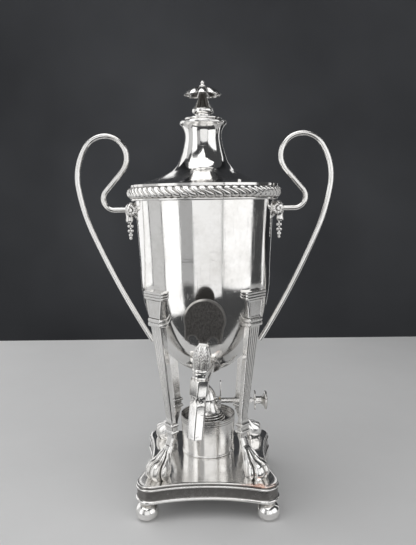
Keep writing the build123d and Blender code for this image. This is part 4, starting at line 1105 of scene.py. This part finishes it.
def key_field(x, y, z):
    """Key in its own plane: the outline given a thickness, rounded edges, a slightly domed face,
    and a rough skin of small pits from crossed waves.
    """
    dome = 0.35 * np.clip(1 - (x**2 + z**2) / 400.0, 0, 1)
    a = key_outline(x, z) + KEY_ROUNDING
    b = np.abs(y) - (KEY_THICK / 2 - 0.25 + dome) + KEY_ROUNDING
    solid = np.hypot(np.maximum(a, 0), np.maximum(b, 0)) + np.minimum(np.maximum(a, b), 0)
    solid = solid - KEY_ROUNDING
    grain = np.sin(x * 2.6 + 2 * np.sin(z * 0.5)) * np.sin(z * 1.3 + np.sin(x * 0.9) * 2)
    pits = np.sin(x * 1.9 + z * 1.2) * np.sin(z * 2.2 - x * 1.1 + y * 1.6)
    return solid + 0.012 * grain + 0.012 * pits


class URN_OT_key(bpy.types.Operator):
    """Make the ebonised key and the leaves on its bulb"""

    bl_idname = "urn.key"
    bl_label = "Tap key"

    def execute(self, context):
        points, quads = cast(key_field, (-21, -4.2, -24), (21, 4.2, 21), 0.3)
        points[:, 2] += KEY_RISE
        key = make_piece(
            "wooden_key", [(in_tap_frame(points), quads)], "wood", ["key_handle"], 2.4, 8, 180,
            body="tap_key", slot="ebonised_wood",
        )
        # Painted highlight: the front edges towards the key's upper left are marked to take the
        # pale worn-wood colour, in place of a reflection
        from_axis = values_of(key.data.vertices, "co", 3) / MM - TAP_ORIGIN
        bearing = np.degrees(np.arctan2(from_axis[:, 2] - KEY_RISE, from_axis[:, 0] - 6.0))
        painted_highlight = window(bearing, 80.0, 105.0, 150.0, 172.0) * (from_axis[:, 1] < 0)
        add_values(key.data, "painted_highlight", painted_highlight)
        leaves = leaf_shell(context.scene.urn_shape.leaf_depth)
        make_piece("bulb_leaves", [leaves], "cast", (), 0.8, 1, 60, body="tap_key")
        return {"FINISHED"}


# Tap barrel: height along the key's axis, radius to the corners or of the circle, and how round
BARREL = (
    (-50.8, 6.2, 0.6), (-50.8, 8.2, 0.0), (-50.2, 8.7, 0.0), (-18.0, 8.7, 0.0),
    (-15.6, 8.5, 0.0), (-14.6, 7.5, 0.5), (-13.2, 7.1, 1.0), (-11.6, 7.1, 1.0),
    (-10.8, 8.3, 0.4), (-8.2, 9.0, 0.0), (-7.6, 9.7, 0.0), (-7.0, 9.9, 0.0), (6.8, 9.9, 0.0),
    (7.4, 9.3, 0.0), (7.5, 7.2, 1.0), (8.2, 7.1, 1.0), (9.0, 7.5, 1.0), (9.8, 7.1, 1.0),
    (10.8, 7.1, 1.0), (11.8, 7.6, 1.0), (13.8, 7.6, 1.0), (14.2, 7.3, 1.0), (14.2, 6.25, 1.0),
)
# Its bore: height and radius; and the radius of the tube that joins it to the bowl
BARREL_BORE = ((12.0, 6.25), (-8.4, 6.0), (-50.0, 6.0))
TUBE_R = 7.5


def barrel_shell():
    """Outside of the tap: a six-sided outline, whose flats are three pairs of planes joined by a
    steep power mean, goes over to a circle by the share given; then back down the bore.
    """
    angle = np.radians(np.arange(0.0, 360.0, 2.0))
    flats = [np.abs(np.cos(angle - math.radians(60 * i))) ** 40 for i in range(3)]
    six = math.cos(math.radians(30)) / np.sum(flats, 0) ** (1 / 40)
    sections = [(z, radius * ((1 - share) * six + share)) for z, radius, share in BARREL]
    sections += [(z, np.full(len(angle), radius)) for z, radius in BARREL_BORE]
    rings = np.array([polar(reach, angle, z) for z, reach in sections])
    return rings, grid_quads(len(rings), len(angle), True, True)


def tube_shell():
    """Tube from the block to the bowl: each line of it is cut off where it meets the wall."""
    angle = np.radians(np.arange(0.0, 360.0, 6.0))
    x, z = TUBE_R * np.cos(angle), TUBE_R * np.sin(angle)
    near, far = np.full(len(angle), 5.0), np.full(len(angle), 75.0)
    for _ in range(40):
        middle = (near + far) / 2
        place = in_tap_frame(xyz(x, middle, z))
        outside = np.hypot(place[:, 0], place[:, 1]) > vessel_radius(place[:, 2])
        near, far = np.where(outside, middle, near), np.where(outside, far, middle)
    start = np.maximum(5.45, 6.3 * bump_at(x, 0, 6.3))
    shares = (0.0, 0.3, 0.6, 1.0)
    return lofted(np.array([xyz(x, start + (near - start) * share, z) for share in shares]))


class URN_OT_tap(bpy.types.Operator):
    """Make the tap's six-sided block, its waist and spout, and the tube to the bowl"""

    bl_idname = "urn.tap"
    bl_label = "Tap barrel"

    def execute(self, context):
        shells = [(in_tap_frame(points), quads) for points, quads in (barrel_shell(), tube_shell())]
        make_piece("waisted_tap", shells, "plain", ["tap_barrel"], 1.2, 1, 35)
        return {"FINISHED"}


# Solids whose edges are rounded: finish and width in millimetres
SOFTENED = {
    "tap_rosette": ("plain", 0.3),
    "winder_disc": ("lamp", 0.2),
    "neck_flange": ("plain", 0.25),
    "snuffer_cap": ("lamp", 0.2),
}


class URN_OT_softened(bpy.types.Operator):
    """Round the edges of the solids whose edges catch the light"""

    bl_idname = "urn.softened"
    bl_label = "Softened edges"

    def execute(self, context):
        for node, (kind, width) in SOFTENED.items():
            source = frame["nodes"][node]
            mesh = source.data.copy()
            mesh.name = f"{node}_soft"
            clean_up(mesh, 2e-6, math.radians(0.8))
            mesh.materials.clear()
            mesh.polygons.foreach_set("use_smooth", np.ones(len(mesh.polygons), bool))
            obj = place_piece(
                f"{node}_soft", mesh, kind, [node], source["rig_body"]
            )
            bevel = obj.modifiers.new("round_edges", "BEVEL")
            bevel.width = width * MM
            bevel.segments = 3
            bevel.limit_method = "ANGLE"
            bevel.angle_limit = math.radians(28)
            bevel.harden_normals = True
        return {"FINISHED"}


# Upright panels of light round the object: name, first and last bearing in degrees from the
# front, positive to the right, distance, lowest and highest point in metres, and brightness as
# metal shows it
PANELS = (
    ("window_middle", -18.0, 29.0, 1.5, -0.35, 1.20, 0.90),
    ("window_right", 31.0, 85.0, 1.3, -0.10, 1.20, 1.10),
    ("window_left", -70.0, -39.0, 1.3, -0.60, 1.30, 1.20),
    ("curtain_middle", -38.5, -18.5, 1.4, -0.03, 1.20, 0.36),
    ("curtain_left", -100.0, -72.0, 1.3, -0.30, 1.20, 0.55),
    ("wall_left", -149.0, -102.0, 1.2, 0.00, 1.10, 1.05),
    ("strip_right", 115.0, 122.0, 1.2, 0.00, 1.20, 1.20),
    ("spout_gleam", 22.5, 30.5, 0.24, 0.010, 0.072, 1.15),
    ("rim_left", -166.0, -161.0, 0.9, 0.02, 0.90, 1.00),
    ("rim_right", 160.0, 165.0, 0.9, 0.02, 0.90, 1.00),
)
# Level panel overhead: place, width and depth in metres, and brightness
OVERHEAD = ((-0.25, -0.35, 1.60), (1.7, 1.5), 1.60)
# Sheets of the stage: a corner and two edges in metres. The floor's near edge is out of the picture
FLOOR = ((-1.2, -0.125, 0.0), (2.4, 0.0, 0.0), (0.0, 0.825, 0.0))
BACKDROP = ((-2.6, 1.3, -0.4), (5.2, 0.0, 0.0), (0.0, 0.0, 3.4))
ROOM_COLOUR = (0.95, 0.97, 1.0, 1.0)
# Camera: place in metres, and tilt, turn and roll in degrees
CAMERA_PLACE = (0.0134, -0.6079, 0.3284)
CAMERA_ANGLES = (82.7, 0.99, -0.84)


def make_sheet(name, corner, along, up, material):
    """Part of the stage: a sheet between two edges that leave a corner, as a small grid."""
    share = np.linspace(0, 1, 9)
    a, b = np.meshgrid(share, share, indexing="ij")
    points = np.array(corner) + a[..., None] * np.array(along) + b[..., None] * np.array(up)
    mesh = bpy.data.meshes.new(name)
    mesh.from_pydata(points.reshape(-1, 3).tolist(), [], grid_quads(9, 9).tolist())
    mesh.materials.append(material)
    add_object(name, mesh)


def add_light(name, place, aim, size, brightness):
    """Soft panel of light that faces a point and that the camera doesn't see."""
    data = bpy.data.lights.new(name, "AREA")
    data.shape = "RECTANGLE"
    data.size, data.size_y = size
    data.energy = brightness * math.pi * size[0] * size[1]
    obj = add_object(name, data)
    obj.location = place
    obj.rotation_euler = (Vector(aim) - Vector(place)).to_track_quat("-Z", "Y").to_euler()
    obj.visible_camera = False


def add_panel(name, first, last, distance, low, high, brightness):
    """Upright panel of light that spans two bearings as seen from the object."""
    middle = math.radians((first + last) / 2)
    width = 2 * distance * math.tan(math.radians((last - first) / 2))
    height = (low + high) / 2
    place = (distance * math.sin(middle), -distance * math.cos(middle), height)
    add_light(name, place, (0.0, 0.0, height), (width, high - low), brightness)


class URN_OT_stage(bpy.types.Operator):
    """Set the floor, the lights and the camera"""

    bl_idname = "urn.stage"
    bl_label = "Stage"

    def execute(self, context):
        stage = context.scene.urn_stage
        make_sheet("floor", *FLOOR, floor_finish(stage.floor))
        make_sheet("backdrop", *BACKDROP, backdrop_finish())
        world = bpy.data.worlds.new("room")
        world.use_nodes = True
        background = world.node_tree.nodes["Background"]
        background.inputs[0].default_value = ROOM_COLOUR
        background.inputs[1].default_value = stage.room
        context.scene.world = world
        for panel in PANELS:
            add_panel(*panel)
        add_light("overhead", OVERHEAD[0], (0.0, 0.0, 0.1), *OVERHEAD[1:])
        camera = add_object("camera", bpy.data.cameras.new("camera"))
        camera.data.lens = stage.lens
        camera.data.sensor_fit = "AUTO"
        camera.data.clip_start = 0.01
        tilt, turn, roll = (math.radians(angle) for angle in CAMERA_ANGLES)
        aim = Euler((tilt, 0.0, turn), "XYZ").to_matrix() @ Matrix.Rotation(roll, 3, "Z")
        camera.matrix_world = Matrix.Translation(CAMERA_PLACE) @ aim.to_4x4()
        context.scene.camera = camera
        context.scene.view_settings.view_transform = "Standard"
        return {"FINISHED"}


class URN_PT_panel(bpy.types.Panel):
    """Buttons for each group of pieces"""

    bl_idname = "URN_PT_panel"
    bl_label = "Tea Urn"
    bl_space_type = "VIEW_3D"
    bl_region_type = "UI"
    bl_category = "Tea Urn"

    def draw(self, context):
        column = self.layout.column(align=True)
        for operator in OPERATORS:
            column.operator(operator.bl_idname)
        for name in GROUPS:
            group = getattr(context.scene, name)
            for key in group.__annotations__:
                self.layout.prop(group, key)


GROUPS = {"urn_look": UrnLook, "urn_shape": UrnShape, "urn_stage": UrnStage}
OPERATORS = (
    URN_OT_finishes,
    URN_OT_rope_rim,
    URN_OT_parasol,
    URN_OT_masks,
    URN_OT_plinth,
    URN_OT_legs,
    URN_OT_paws,
    URN_OT_key,
    URN_OT_tap,
    URN_OT_softened,
    URN_OT_stage,
)
CLASSES = (*GROUPS.values(), *OPERATORS, URN_PT_panel)


def register():
    for cls in CLASSES:
        bpy.utils.register_class(cls)
    for name, group in GROUPS.items():
        setattr(bpy.types.Scene, name, PointerProperty(type=group))


def unregister():
    for name in GROUPS:
        delattr(bpy.types.Scene, name)
    for cls in reversed(CLASSES):
        bpy.utils.unregister_class(cls)


def main():
    """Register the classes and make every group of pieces."""
    register()
    for cls in OPERATORS:
        group, action = cls.bl_idname.split(".")
        getattr(getattr(bpy.ops, group), action)()


if __name__ == "__main__":
    main()
